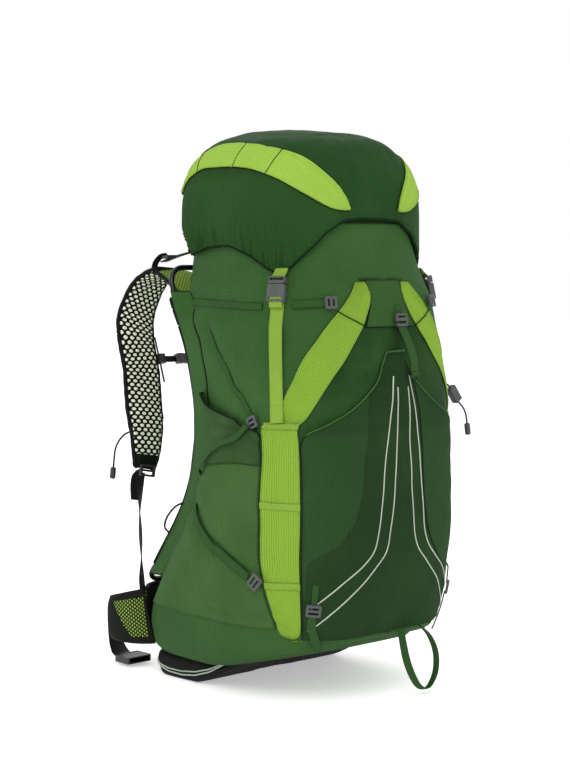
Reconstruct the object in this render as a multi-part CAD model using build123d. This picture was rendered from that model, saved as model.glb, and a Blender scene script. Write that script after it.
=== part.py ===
from build123d import *
import math
import os

# Hiking backpack with a suspended mesh back. Millimetres, +Z up, +Y towards the wearer,
# -Y the front of the pack. The origin is under the middle of the whole object, on the ground.

os.makedirs("parts", exist_ok=True)

# ---------------------------------------------------------------- driving sizes
BAG_WIDTH = 352.0        # widest level of the bag
BAG_FRONT = -252.0       # foremost level of the bag
BAG_TOP = 660.0          # rim of the bag, under the lid
LID_TOP = 795.0          # crown of the lid
WALL = 2.0               # bag fabric and lining
FRONT_POWER = 2.9        # squareness of the front half of a level
BACK_POWER = 3.5         # squareness of the back half
FABRIC = 1.2             # a sewn-on layer
SKIN_GAP = 0.6           # air between a sewn-on layer and what it lies on
MOVE_GAP = 0.5           # air between pieces that move against each other
WEBBING = 1.6            # thickness of webbing
WIDE_WEBBING = 20.0      # lid and shoulder webbing
NARROW_WEBBING = 13.0    # compression and pad webbing
HIP_WEBBING = 38.0       # waist webbing
POCKET_GAPE = 15.0       # how far a pocket mouth stands off the bag
BASE_LENGTH = 122.0      # flat length of the base, along Y
BASE_FLAT_FRONT = -22.0  # front end of the flat of the base
BASE_WIDTH = 290.0
BASE_RISE = 34.0         # height of the bag's floor at the back
FLOOR_SLOPE = 0.245      # how the floor climbs towards the front
TUBE = 8.0               # frame tube
FRAME_WIDTH = 286.0      # between the tube's side runs
MESH = 2.5               # back mesh
STRAP_WIDTH = 64.0       # shoulder strap
STRAP_THICK = 12.0
HIP_THICK = 12.0
LID_OPEN_AXIS = (95.0, 645.0)   # y, z of the line that the lid turns about
BUNGEE = 3.0             # thin elastic cord

# Levels of the bag: height, how much narrower each side is than the widest level,
# how far behind the foremost level the front is, y of the back, y of the widest line,
# and how deep the back is hollowed behind the mesh.
LEVELS = [
    (30.0, 18.0, 80.0, 153.0, -22.0, 0.0),
    (60.0, 11.0, 45.0, 163.0, -22.0, 0.0),
    (100.0, 4.0, 20.0, 153.0, -42.0, 12.0),
    (180.0, 0.0, 3.0, 95.0, -62.0, 38.0),
    (280.0, 4.0, 0.0, 31.0, -92.0, 45.0),
    (380.0, 8.0, 5.0, 13.0, -102.0, 45.0),
    (BAG_TOP - 180.0, 13.0, 17.0, 31.0, -92.0, 45.0),
    (BAG_TOP - 100.0, 20.0, 30.0, 66.0, -72.0, 32.0),
    (BAG_TOP - 60.0, 31.0, 47.0, 72.0, -58.0, 18.0),
    (BAG_TOP - 30.0, 36.0, 54.0, 72.0, -52.0, 10.0),
    (BAG_TOP, 40.0, 59.0, 70.0, -52.0, 6.0),
]
# Levels of the lid: drop below the crown, side inset, front setback, y of the back.
LID_LEVELS = [
    (215.0, 22.0, 40.0, 84.0),
    (175.0, 24.5, 46.0, 87.0),
    (140.0, 21.0, 48.0, 91.0),
    (105.0, 21.0, 50.0, 91.0),
    (70.0, 27.0, 61.0, 83.0),
    (40.0, 42.0, 80.0, 63.0),
    (18.0, 70.0, 106.0, 34.0),
    (5.0, 114.0, 142.0, -7.0),
]
LID_MIDDLE = -54.0       # y of the lid's widest line


# ---------------------------------------------------------------- the bag's surface
def blend_row(table, z, column):
    """A column of a level table at height z, on a smooth cubic between the levels."""
    heights = [row[0] for row in table]
    values = [row[column] for row in table]
    last = len(table) - 1
    z = min(max(z, heights[0]), heights[last])
    i = 0
    while i < last - 1 and z > heights[i + 1]:
        i += 1

    def slope(k):
        a = max(k - 1, 0)
        b = min(k + 1, last)
        return (values[b] - values[a]) / (heights[b] - heights[a])

    span = heights[i + 1] - heights[i]
    q = (z - heights[i]) / span
    return ((2 * q**3 - 3 * q**2 + 1) * values[i] + (q**3 - 2 * q**2 + q) * span * slope(i)
            + (3 * q**2 - 2 * q**3) * values[i + 1] + (q**3 - q**2) * span * slope(i + 1))


def level(z):
    """Half width, front, back, middle and hollow of the bag at height z."""
    half = BAG_WIDTH / 2 - blend_row(LEVELS, z, 1)
    front = BAG_FRONT + blend_row(LEVELS, z, 2)
    return half, front, blend_row(LEVELS, z, 3), blend_row(LEVELS, z, 4), blend_row(LEVELS, z, 5)


def ring_point(turn, half, front, back, middle, hollow, out):
    """Superellipse in plan: x on the cosine, y on the sine, each raised to 2 over the power."""
    c = math.cos(turn)
    s = math.sin(turn)
    power = 2 / (FRONT_POWER if s < 0 else BACK_POWER)
    x = (half + out) * math.copysign(abs(c) ** power, c)
    reach = (back - middle + out) if s > 0 else -(middle - front + out)
    y = middle + reach * abs(s) ** power
    if s > 0:
        across = min(abs(x) / (0.84 * half), 1.0)
        y -= hollow * (1 - across**2) ** 2
    return x, y


def bag(turn, z, out=0.0):
    """Point on the bag, a given distance out; turn is -pi/2 at the front, -pi at the left."""
    x, y = ring_point(turn, *level(z), out)
    return Vector(x, y, z)


def lid_shape(turn, z, out=0.0):
    """Point on the lid, in the same way."""
    table = [(LID_TOP - drop, inset, setback, back) for drop, inset, setback, back in LID_LEVELS]
    half = BAG_WIDTH / 2 - blend_row(table, z, 1)
    front = BAG_FRONT + blend_row(table, z, 2)
    x, y = ring_point(turn, half, front, blend_row(table, z, 3), LID_MIDDLE, 0.0, out)
    return Vector(x, y, z)


def turn_x(x, z):
    """Turn of the front-face point with this x."""
    half = level(z)[0]
    share = min(abs(x) / half, 1.0) ** (FRONT_POWER / 2)
    return -math.acos(math.copysign(share, x))


def turn_y(y, z):
    """Turn of the left-side point with this y."""
    half, front, back, middle, hollow = level(z)
    if y < middle:
        share = min((middle - y) / (middle - front), 1.0) ** (FRONT_POWER / 2)
        return -math.pi + math.asin(share)
    share = min((y - middle) / (back - middle), 1.0) ** (BACK_POWER / 2)
    return -math.pi - math.asin(share)


def normal(turn, z, shape=bag):
    """Outward unit normal by small steps along the surface."""
    step = 0.004
    along = shape(turn + step, z) - shape(turn - step, z)
    up = shape(turn, z + 1) - shape(turn, z - 1)
    return along.cross(up).normalized()


# ---------------------------------------------------------------- ways of making a solid
RING_TURNS = [2 * math.pi * i / 40 for i in range(40)]


def ring_face(shape, z, out):
    return Face(Wire([Edge.make_spline([shape(t, z, out) for t in RING_TURNS], periodic=True)]))


def tower(shape, heights, out):
    """Solid through whole levels of a shape."""
    return loft([ring_face(shape, z, out) for z in heights])


def strip_face(inside, outside):
    """Flat thin face between two lines of points."""
    edges = [Edge.make_spline(inside), Edge.make_line(inside[-1], outside[-1]),
             Edge.make_spline(outside[::-1]), Edge.make_line(outside[0], inside[0])]
    return Face(Wire(edges))


def sheet(rows, low=SKIN_GAP, thick=FABRIC, gape=None, shape=bag, columns=8):
    """Layer that lies on a shape. Each row is a height and the turns where it starts and ends;
    gape(across, along), if given, is how far the layer bellies out."""
    faces = []
    for j, (z, start, end) in enumerate(rows):
        inside = []
        outside = []
        for i in range(columns + 1):
            across = i / columns
            turn = start + (end - start) * across
            lift = low + (gape(across, j / (len(rows) - 1)) if gape else 0.0)
            inside.append(shape(turn, z, lift))
            outside.append(shape(turn, z, lift + thick))
        faces.append(strip_face(inside, outside))
    return loft(faces)


def smooth_path(points, pieces):
    """Points on a smooth curve through the given ones, evenly in parameter."""
    curve = Edge.make_spline([Vector(*p) for p in points])
    return [curve @ (i / pieces) for i in range(pieces + 1)]


def strap_on(places, width, low=SKIN_GAP, thick=WEBBING, shape=bag, pieces=14):
    """Webbing that runs over a shape through places given as turn and height."""
    flat = smooth_path([(math.degrees(t), z, 0) for t, z in places], pieces)
    spots = [(math.radians(p.X), p.Y) for p in flat]
    centres = [shape(t, z, low + thick / 2) for t, z in spots]
    return ribbon(centres, [normal(t, z, shape) for t, z in spots], width, thick)


def ribbon(centres, normals, width, thick):
    """Flat band through centres; width and thick are a number or one for each centre."""
    count = len(centres)
    widths = width if isinstance(width, list) else [width] * count
    thicks = thick if isinstance(thick, list) else [thick] * count
    faces = []
    for i, centre in enumerate(centres):
        ahead = centres[min(i + 1, count - 1)] - centres[max(i - 1, 0)]
        side = ahead.cross(normals[i]).normalized()
        plane = Plane(origin=centre, x_dir=side, z_dir=ahead.normalized())
        corner = 0.45 * min(thicks[i], widths[i])
        if thicks[i] > 4:
            faces.append(plane * RectangleRounded(widths[i], thicks[i], corner))
        else:
            faces.append(plane * Rectangle(widths[i], thicks[i]))
    return loft(faces)


def tube_along(points, diameter, radii):
    """Round bar along straight runs joined by tangent arcs."""
    path = FilletPolyline(*[Vector(*p) for p in points], radius=radii)
    start = path @ 0
    profile = Plane(origin=start, z_dir=path % 0) * Circle(diameter / 2)
    return sweep(profile, path=path)


def cord_along(name, points, diameter):
    """Free cord: every arc is as large as its two runs allow. Prints its radii and volume check."""
    spots = [Vector(*p) for p in points]
    radii = []
    for a, b, c in zip(spots, spots[1:], spots[2:]):
        half_turn = math.radians((b - a).get_angle(c - b)) / 2
        radii.append(0.45 * min((b - a).length, (c - b).length) / math.tan(half_turn))
    path = FilletPolyline(*spots, radius=radii)
    solid = sweep(Plane(origin=path @ 0, z_dir=path % 0) * Circle(diameter / 2), path=path)
    expected = math.pi * diameter**2 / 4 * path.length
    print(name, "length", round(path.length, 1), "radii", [round(r, 1) for r in radii],
          "volume ratio", round(solid.volume / expected, 4))
    return solid


def box_at(x0, x1, y0, y1, z0, z1):
    return Pos((x0 + x1) / 2, (y0 + y1) / 2, (z0 + z1) / 2) * Box(x1 - x0, y1 - y0, z1 - z0)


def prism_x(points, half):
    """Side-view outline (y, z) carried across from -half to +half."""
    outline = make_face(Polyline(*[(-half, y, z) for y, z in points], close=True))
    return extrude(outline, amount=2 * half, dir=(1, 0, 0))


def other_side(solid):
    return mirror(solid, about=Plane.YZ)


# ---------------------------------------------------------------- hardware
def ladder_lock(webbing, length=18.0):
    """Flat buckle with a cross bar between two slots. Local z is outwards, local y the strap."""
    side = 3.5
    thick = 4.0
    slot = (length - 3 * side) / 2
    body = Box(webbing + 2 * side + 1, length, thick)
    body = fillet(body.edges().filter_by(Axis.Z), 2.5)
    for way in (-1, 1):
        body -= Pos(0, way * (side + slot) / 2, 0) * Box(webbing + 1, slot, thick + 1)
    return body


def buckle_socket(webbing, length, thick, depth):
    """Female half of a side-release buckle, mouth on local +y at y = 0, slot for webbing below."""
    body = Pos(0, -length / 2, 0) * Box(webbing + 6, length, thick)
    body = fillet(body.edges().filter_by(Axis.Z), 2.5)
    body -= Pos(0, -depth / 2, 0) * Box(webbing, depth, thick - 2.6)
    body -= Pos(0, -length + 5, 0) * Box(webbing + 1, 3.2, thick + 1)
    return body


def buckle_plug(webbing, head, thick, fit, depth):
    """Male half: cross bar with its webbing slot above the joint, and two prongs and a guide."""
    body = Pos(0, fit + head / 2, 0) * Box(webbing + 6, head, thick)
    body = fillet(body.edges().filter_by(Axis.Z), 2.5)
    body -= Pos(0, fit + head - 4.6, 0) * Box(webbing + 1, 3.2, thick + 1)
    reach = depth - fit
    prong = (webbing - 2 * fit) / 5
    for x in (-2, 0, 2):
        body += Pos(x * prong, fit + 0.5 - (reach + 1) / 2, 0) * Box(prong, reach + 1, thick - 2.6 - 2 * fit)
    return body


def frame_at(origin, along, out):
    """Plane with local y along a strap and local z outwards."""
    along = Vector(along).normalized()
    side = along.cross(out).normalized()
    return Plane(origin=origin, x_dir=side, z_dir=side.cross(along))


# ---------------------------------------------------------------- bag
FLOOR_KINK = -32.0       # y where the floor starts to climb
BAG_HEIGHTS = [30, 45, 60, 80, 100, 140, 180, 230, 280, 330, 380] + [
    BAG_TOP - drop for drop in (230, 180, 140, 100, 80, 60, 45, 30, 15)]


def floor_line(lift):
    """Side-view region under the bag's floor."""
    far = -400.0
    high = BASE_RISE + lift
    return [(300, -20), (300, high), (FLOOR_KINK, high),
            (far, high + FLOOR_SLOPE * (FLOOR_KINK - far)), (far, -20)]


def main_bag():
    outer = tower(bag, BAG_HEIGHTS + [BAG_TOP], 0) - prism_x(floor_line(0), 300)
    inner = tower(bag, BAG_HEIGHTS + [BAG_TOP + 2], -WALL) - prism_x(floor_line(WALL), 300)
    return outer - inner


def base_panel():
    """Sled under the bag: flat on the ground, its front thinning out under the climbing floor."""
    back = BASE_FLAT_FRONT + BASE_LENGTH
    high = BASE_RISE - SKIN_GAP
    tip = -140.0
    tip_high = high + FLOOR_SLOPE * (FLOOR_KINK - tip)
    side = [(back + 18, 12), (back + 18, high), (FLOOR_KINK, high), (tip, tip_high),
            (tip, tip_high - 5), (BASE_FLAT_FRONT - 40, high - 8), (BASE_FLAT_FRONT, 0), (back, 0)]
    plan = extrude(Pos(0, 0, -70) * ring_face(bag, 60, -8), amount=140)
    return prism_x(side, BASE_WIDTH / 2) & plan


COLLAR_HEIGHT = 26.0     # gathered collar above the bag's rim


def collar_shape(turn, z, out=0.0):
    """Lies inside the rim, then draws in above it."""
    half, front, back, middle, hollow = level(BAG_TOP)
    draw = max(z - BAG_TOP, 0) / COLLAR_HEIGHT
    inset = WALL + SKIN_GAP + 42 * draw**1.5
    x, y = ring_point(turn, half, front, back, middle, hollow * (1 - min(draw, 1)), out - inset)
    return Vector(x, y, z)


def drawcord_collar():
    low = BAG_TOP - 16
    heights = [low, BAG_TOP - 4, BAG_TOP, BAG_TOP + 10, BAG_TOP + 18, BAG_TOP + COLLAR_HEIGHT]
    outer = tower(collar_shape, heights, 0)
    inner = tower(collar_shape, [low - 1] + heights[1:-1] + [BAG_TOP + COLLAR_HEIGHT + 0.5], -FABRIC)
    return outer - inner


def collar_drawcord():
    z = BAG_TOP + COLLAR_HEIGHT + SKIN_GAP
    faces = [Pos(0, 0, z - BAG_TOP - COLLAR_HEIGHT) * ring_face(collar_shape, BAG_TOP + COLLAR_HEIGHT, out)
             for out in (0.8, -2.2)]
    return extrude(faces[0], amount=BUNGEE) - extrude(faces[1], amount=BUNGEE)


def collar_lock_place():
    """Middle of the cord lock, in front of the drawcord."""
    edge = collar_shape(-math.pi / 2, BAG_TOP + COLLAR_HEIGHT, 0.8)
    return Vector(0, edge.Y - 6.5, BAG_TOP + COLLAR_HEIGHT + 1)


LOCK_RADIUS = 5.5
LOCK_LENGTH = 14.0
PLUNGER_TRAVEL = 3.0


def lock_barrel(place, axis):
    """Cord lock: a barrel closed at one end, bored for its plunger, on a line along axis."""
    body = Plane(origin=place, z_dir=axis) * Cylinder(LOCK_RADIUS, LOCK_LENGTH)
    bore = Plane(origin=place + Vector(*axis) * 2, z_dir=axis) * Cylinder(
        LOCK_RADIUS - 1.6, LOCK_LENGTH - 2)
    return body - bore


def lock_plunger(place, axis):
    """Button that slides in the barrel, standing out at the open end."""
    length = LOCK_LENGTH - 4 - PLUNGER_TRAVEL + 5
    middle = place + Vector(*axis) * (LOCK_LENGTH / 2 + 5 - length / 2)
    return Plane(origin=middle, z_dir=axis) * Cylinder(LOCK_RADIUS - 1.6 - MOVE_GAP, length)


def collar_cord_lock():
    return lock_barrel(collar_lock_place(), (1, 0, 0))


def collar_lock_button():
    return lock_plunger(collar_lock_place(), (1, 0, 0))


# ---------------------------------------------------------------- frame and back
FRAME_STOPS = [136.0, 185.0, 280.0, 380.0, BAG_TOP - 180, BAG_TOP - 100, BAG_TOP - 60]
FRAME_INTO_BAG = 2.0     # the side runs sit this far forward of the bag's back


def rail_y(z):
    """Line of the frame's side runs in side view."""
    return level(z)[2] - FRAME_INTO_BAG


def frame_hoop():
    half = FRAME_WIDTH / 2
    low = FRAME_STOPS[0]
    low_y = level(low)[2] + TUBE / 2 + 2
    rise = [(half, low_y, low)] + [(half, rail_y(z), z) for z in FRAME_STOPS[1:-1]]
    top = [(half, rail_y(FRAME_STOPS[-1]) + TUBE, FRAME_STOPS[-1])]
    right = rise + top
    left = [(-x, y, z) for x, y, z in reversed(right)]
    points = [(0.5, low_y, low)] + right + left + [(-0.5, low_y, low)]
    bends = [26, 60, 110, 150, 150, 120, 26]
    return tube_along(points, TUBE, bends + bends[::-1])


def frame_cross_strut():
    z = 330.0
    end = FRAME_WIDTH / 2 - TUBE / 2 - 0.4
    middle = bag(math.pi / 2, z).Y + 12
    shoulder = rail_y(z) - 8
    points = [(-end, rail_y(z), z), (-95, shoulder, z), (0, middle, z), (95, shoulder, z),
              (end, rail_y(z), z)]
    return tube_along(points, 6.0, [120, 200, 120])


def mesh_y(z):
    return rail_y(z) + TUBE / 2 + SKIN_GAP + MESH / 2


def back_mesh():
    heights = [166, 190, 215, 250, 290, 330, 380, 430] + [BAG_TOP - d for d in (190, 160, 130, 105)]
    centres = [Vector(0, mesh_y(z), z) for z in heights]
    return ribbon(centres, [Vector(0, 1, 0)] * len(centres), FRAME_WIDTH - TUBE - 2 * SKIN_GAP, MESH)


LUMBAR_HEIGHT = 80.0
BELT_LEVEL = 86.0        # middle height of the waist belt
WING_AXIS = (150.0, 118.0)   # x and y of the line that a hip wing turns about


def lumbar_pad():
    side = [(143, 132), (127, 150), (104, 161), (60, 169)]
    plan = [(-x, y) for x, y in side] + [(0, 172)] + side[::-1]
    curve = smooth_path([(x, y, BELT_LEVEL) for x, y in plan], 16)
    outs = [Vector(p.X, p.Y + 60, 0).normalized() for p in curve]
    return ribbon(curve, outs, LUMBAR_HEIGHT, 9.0)


# ---------------------------------------------------------------- harness
STRAP_ROUTE = [(-52, 196, 598), (-57, 226, 580), (-66, 241, 552), (-76, 243, 522), (-86, 230, 489),
               (-87, 216, 443), (-94, 202, 398), (-100, 188, 354), (-105, 182, 318), (-109, 182, 296)]


def strap_line(route=STRAP_ROUTE, pieces=22):
    return smooth_path(route, pieces)


def strap_outs(line):
    """Normals of the strap: square to its run, in the plane of Y and Z."""
    outs = []
    for i in range(len(line)):
        ahead = line[min(i + 1, len(line) - 1)] - line[max(i - 1, 0)]
        outs.append(Vector(1, 0, 0).cross(ahead).normalized() * -1)
    return outs


def shoulder_strap_left():
    line = strap_line()
    count = len(line)
    widths = [STRAP_WIDTH - (26 * max(0.0, i / (count - 1) - 0.72) / 0.28) for i in range(count)]
    return ribbon(line, strap_outs(line), widths, STRAP_THICK)


YOKE_ROUTE = [(72, 528), (92, 535), (128, 558), (160, 580), (188, 594)]


def harness_yoke():
    """Padded bridge from the frame to both shoulder straps, cut back at the neck."""
    line = smooth_path([(0, y, z) for y, z in YOKE_ROUTE], 8)
    outs = [Vector(0, -0.5, 1).normalized()] * len(line)
    pad = ribbon(line, outs, 2 * 52 + STRAP_WIDTH - 8, 9.0)
    neck = Pos(0, 196, 590) * Cylinder(20, 160)
    return pad - neck


def strap_webbing_left():
    points = [(-110, 188, 290), (-114, 186, 262), (-121, 177, 219), (-130, 162, 165), (-138, 151, 133)]
    line = smooth_path(points, 8)
    return ribbon(line, [Vector(-0.2, 1, 0.2).normalized()] * len(line), WIDE_WEBBING, WEBBING)


def strap_ladder_lock_left():
    line = strap_line()
    along = line[-1] - line[-3]
    out = strap_outs(line)[-1]
    origin = line[-1] + along.normalized() * 2 + out * (STRAP_THICK / 2 + 3.0)
    return frame_at(origin, along, out) * ladder_lock(WIDE_WEBBING)


LIFTER_ANCHOR = (-78.0, 90.0, 624.0)


def load_lifter_left():
    points = [(-55, 200, 609), (-62, 160, 616), (-71, 122, 621), LIFTER_ANCHOR]
    line = smooth_path(points, 6)
    return ribbon(line, [Vector(0, 0.2, 1).normalized()] * len(line), NARROW_WEBBING, WEBBING)


def load_lifter_buckle_left():
    origin = Vector(-58.5, 180, 616.2)
    return frame_at(origin, (0, -1, 0.12), Vector(0, 0.12, 1)) * ladder_lock(NARROW_WEBBING, 15)


RAIL_X = 50.0            # cords that the chest strap slides on
RAIL_TOP = (229.5, 492.0)
RAIL_LOW = (206.0, 424.0)
CHEST_LEVEL = 459.0      # height of the chest strap as worn here
CHEST_TRAVEL = 20.0


def rail_run():
    low = Vector(0, RAIL_LOW[0], RAIL_LOW[1])
    high = Vector(0, RAIL_TOP[0], RAIL_TOP[1])
    return low, high, (high - low).normalized()


def chest_place(x):
    """Point on the rail's line at the chest strap's level."""
    low, high, way = rail_run()
    share = (CHEST_LEVEL - low.Z) / (high.Z - low.Z)
    at = low + (high - low) * share
    return Vector(x, at.Y, at.Z)


def chest_rails():
    low, high, way = rail_run()
    solids = []
    for x in (-RAIL_X, RAIL_X):
        middle = (low + high) * 0.5 + Vector(x, 0, 0)
        solids.append(Plane(origin=middle, z_dir=way) * Cylinder(1.5, (high - low).length))
    return Compound(solids)


def chest_slider_left():
    low, high, way = rail_run()
    plane = Plane(origin=chest_place(-RAIL_X), x_dir=(1, 0, 0), z_dir=way)
    body = Pos(3.2, 0, 0) * Box(12, 9, 15)
    body -= Cylinder(1.5 + MOVE_GAP, 16)
    body -= Pos(6.6, 0, 0) * Box(2.4, 10, 10.5)
    return plane * body


CHEST_WEBBING = 10.0


def chest_webbing_left():
    low, high, way = rail_run()
    points = [chest_place(-RAIL_X + 9.7), chest_place(-30) + Vector(0, 3, -1),
              chest_place(-14.4) + Vector(0, 4, -1)]
    line = smooth_path([tuple(p) for p in points], 4)
    out = Vector(1, 0, 0).cross(way) * -1
    return ribbon(line, [out] * len(line), CHEST_WEBBING, WEBBING)


def chest_buckle_plane():
    low, high, way = rail_run()
    at = chest_place(2) + Vector(0, 4, -1)
    return Plane(origin=at, x_dir=way, z_dir=way.cross(Vector(1, 0, 0)))


def chest_buckle_socket():
    return chest_buckle_plane() * buckle_socket(CHEST_WEBBING, 16, 7, 9)


def chest_buckle_plug():
    return chest_buckle_plane() * buckle_plug(CHEST_WEBBING, 10, 7, MOVE_GAP, 8)


# ---------------------------------------------------------------- hip belt
WING_ROUTE = [(-150, 118), (-166, 136), (-172, 158), (-168, 183), (-152, 207), (-128, 224), (-112, 230)]


def hip_wing_left():
    plan = smooth_path([(x, y, 0) for x, y in WING_ROUTE], 16)
    line = []
    widths = []
    for i, p in enumerate(plan):
        share = i / (len(plan) - 1)
        line.append(Vector(p.X, p.Y, BELT_LEVEL - 18 * share))
        widths.append(LUMBAR_HEIGHT - 38 * share)
    outs = [Vector(p.X + 110, p.Y - 165, 0).normalized() for p in plan]
    return ribbon(line, outs, widths, HIP_THICK)


HIP_DROP = [(-124, 235, 80), (-124, 237.5, 64), (-124, 238, 44), (-125, 232, 25), (-127, 218, 12),
            (-129, 203, 8)]


def hip_webbing_left():
    line = smooth_path(HIP_DROP, 10)
    outs = []
    for i in range(len(line)):
        ahead = line[min(i + 1, len(line) - 1)] - line[max(i - 1, 0)]
        outs.append(Vector(0.9, 0.35, 0).cross(ahead).normalized() * -1)
    return ribbon(line, outs, HIP_WEBBING, WEBBING)


def hip_buckle_plane(side):
    """Buckle half lying behind the base, mouth towards the pack."""
    return Plane(origin=(side * 131, 182, 9.5), x_dir=(1, 0, 0), z_dir=(0, 0, 1))


def hip_buckle_socket():
    return hip_buckle_plane(-1) * Rotation(0, 0, 180) * Pos(0, 16, 0) * buckle_socket(
        HIP_WEBBING, 34, 10, 20)


def hip_buckle_plug():
    return hip_buckle_plane(1) * Pos(0, 5, 0) * buckle_plug(
        HIP_WEBBING, 12, 10, MOVE_GAP, 18)


# ---------------------------------------------------------------- sewn-on layers of the bag
BAND_TOP = 386.0         # where the corner band meets the lid strap and the slanting band
BAND_LOW = 96.0


def band_back(z):
    """y of the back edge of the corner band."""
    return -152 - 20 * max(0.0, (220 - z) / 120) ** 1.5


def band_front(z):
    """x of the front edge of the corner band."""
    return -146 + 12 * max(0.0, (210 - z) / 110) ** 1.5


SLANT = [(400, -158, -137), (424, -154, -123), (450, -146, -106), (476, -136, -85),
         (500, -121, -68), (522, -105, -51), (545, -83, -37), (565, -64, -31), (580, -52, -35)]


def side_band_left():
    """Corner band that turns aside above into a slanting band running to the flap."""
    rows = []
    low = BAND_LOW
    rows.append((low, turn_y(band_back(low) - 6, low), turn_x(band_front(low) - 6, low)))
    for z in (110, 140, 175, 210, 250, 290, 330, 365, BAND_TOP):
        rows.append((z, turn_y(band_back(z), z), turn_x(band_front(z), z)))
    for z, outer, inner in SLANT:
        rows.append((z, turn_x(outer, z), turn_x(inner, z)))
    return sheet(rows)


LID_STRAP_LEVELS = [(BAND_TOP + 6, -159.0), (430.0, -157.5), (475.0, -154.5), (516.0, -150.8)]
BUCKLE_TOP = Vector(-140, -158, 590)


def lid_strap_line():
    """The webbing leaves the bag and runs straight up to the lid's corner."""
    line = []
    outs = []
    for z, x in LID_STRAP_LEVELS:
        turn = turn_x(x, z)
        line.append(bag(turn, z, SKIN_GAP + FABRIC + 0.4 + WEBBING / 2))
        outs.append(normal(turn, z))
    return line, outs


def lid_buckle_way():
    line, outs = lid_strap_line()
    return line[-1], (BUCKLE_TOP - line[-1]).normalized(), outs[-1]


def lid_strap_left():
    line, outs = lid_strap_line()
    start, way, out = lid_buckle_way()
    line.append(start + way * 24)
    line.append(start + way * 46)
    outs += [out, out]
    return ribbon(line, outs, WIDE_WEBBING, WEBBING)


LID_BUCKLE_THICK = 8.0
LID_BUCKLE_JOINT = 62.0  # distance up the straight run where the two halves meet
LID_BUCKLE_DEPTH = 6.0


def lid_buckle_plane():
    start, way, out = lid_buckle_way()
    middle = start + way * LID_BUCKLE_JOINT + out * (WEBBING / 2 + MOVE_GAP + LID_BUCKLE_THICK / 2)
    return frame_at(middle, way, out)


def lid_buckle_socket_left():
    return lid_buckle_plane() * buckle_socket(WIDE_WEBBING, 24, LID_BUCKLE_THICK, LID_BUCKLE_DEPTH + 3)


def lid_buckle_plug_left():
    """The plug is shallow and loose, because the lid lifts it out on an arc."""
    fit = 1.6
    body = Pos(0, 0.8 + 5, 0) * Box(WIDE_WEBBING + 4, 10, LID_BUCKLE_THICK)
    body = fillet(body.edges().filter_by(Axis.Z), 2.5)
    body -= Pos(0, 7, 0) * Box(WIDE_WEBBING + 1, 3.2, LID_BUCKLE_THICK + 1)
    for side in (-1, 1):
        body += Pos(side * 5.5, (1 - LID_BUCKLE_DEPTH) / 2, 0) * Box(
            5, LID_BUCKLE_DEPTH + 1, LID_BUCKLE_THICK - 2.6 - 2 * fit)
    return lid_buckle_plane() * body


def front_flap():
    rows = []
    for z, x in ((521, 47), (535, 40), (550, 32), (566, 28), (581, 31)):
        rows.append((z, turn_x(-x, z), turn_x(x, z)))
    return sheet(rows, low=SKIN_GAP, thick=FABRIC)


POCKET_EDGE = [(377, 138), (391, 113), (411, 77), (441, 40), (468, 24), (484, 14)]


def pocket_gape(across, along):
    """Tight at the sides and foot, standing off towards the mouth."""
    return POCKET_GAPE * math.sin(math.pi * across) ** 2 * along**2


def front_pocket():
    rows = []
    for z in (100, 130, 165, 210, 255, 300, 340):
        edge = -band_front(z) - 3.5
        rows.append((z, turn_x(-edge, z), turn_x(edge, z)))
    for z, edge in POCKET_EDGE:
        rows.append((z, turn_x(-edge, z), turn_x(edge, z)))
    return sheet(rows, low=SKIN_GAP + 0.4, gape=pocket_gape, columns=18)


SIDE_GAPE = 11.5
SIDE_LOW = 1.4
SIDE_POCKET_EDGE = [(376, -150), (386, -118), (398, -86), (410, -40), (424, -24)]


def side_back(z):
    """y of the side pocket's back edge, short of the bag's back corner."""
    back, middle = level(z)[2:4]
    return 0.76 * back + 0.24 * middle


def side_gape(across, along):
    """Sewn down at the back, and at the front below the mouth; open along the mouth."""
    mouth = min(max((along - 0.5) * 6, 0.0), 1.0)
    return SIDE_GAPE * math.sin(math.pi * across * (1 - 0.5 * mouth)) * along**2


def side_pocket_left():
    rows = []
    for z in (110, 145, 180, 215, 250, 290, 330, 360):
        rows.append((z, turn_y(side_back(z), z), turn_y(band_back(z) + 4, z)))
    for z, y in SIDE_POCKET_EDGE:
        rows.append((z, turn_y(side_back(z), z), turn_y(y, z)))
    return sheet(rows, low=SIDE_LOW, gape=side_gape, columns=16)


def upper_compression_strap_left():
    places = [(turn_y(40, 550), 550), (turn_y(0, 551), 551), (turn_y(-60, 549), 549),
              (turn_y(-120, 547), 547), (turn_y(-138, 547), 547)]
    return strap_on(places, 9.0)


def upper_compression_front_left():
    """Front end of the upper strap, beyond the lid strap, with its ladder lock."""
    places = [(turn_x(-136, 550), 550), (turn_x(-118, 551), 551), (turn_x(-104, 552), 552)]
    return strap_on(places, 9.0, low=SKIN_GAP + FABRIC + 0.4, pieces=6)


def slant_compression_strap_left():
    places = [(turn_y(-25, 517), 517), (turn_y(-45, 488), 488), (turn_y(-72, 459), 459),
              (turn_y(-102, 427), 427), (turn_y(-124, 405), 405)]
    return strap_on(places, 9.0)


def pocket_compression_strap_left():
    places = [(turn_y(-124, 378), 378), (turn_y(-92, 363), 363), (turn_y(-50, 340), 340),
              (turn_y(-20, 310), 310)]
    return strap_on(places, 9.0, low=SKIN_GAP * 2 + FABRIC + SIDE_GAPE)


def lower_compression_strap_left():
    places = [(turn_y(-2, 266), 266), (turn_y(-38, 228), 228), (turn_y(-92, 200), 200),
              (turn_y(-134, 180), 180)]
    return strap_on(places, NARROW_WEBBING, low=SKIN_GAP * 2 + FABRIC + 2.5)


def lock_on_bag(turn, z, along_turn, along_z, lift, webbing, length=17.0):
    """Ladder lock lying on the bag with its strap along a step in turn and height."""
    here = bag(turn, z, lift)
    there = bag(turn + along_turn, z + along_z, lift)
    return frame_at(here, there - here, normal(turn, z)) * ladder_lock(webbing, length)


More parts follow.
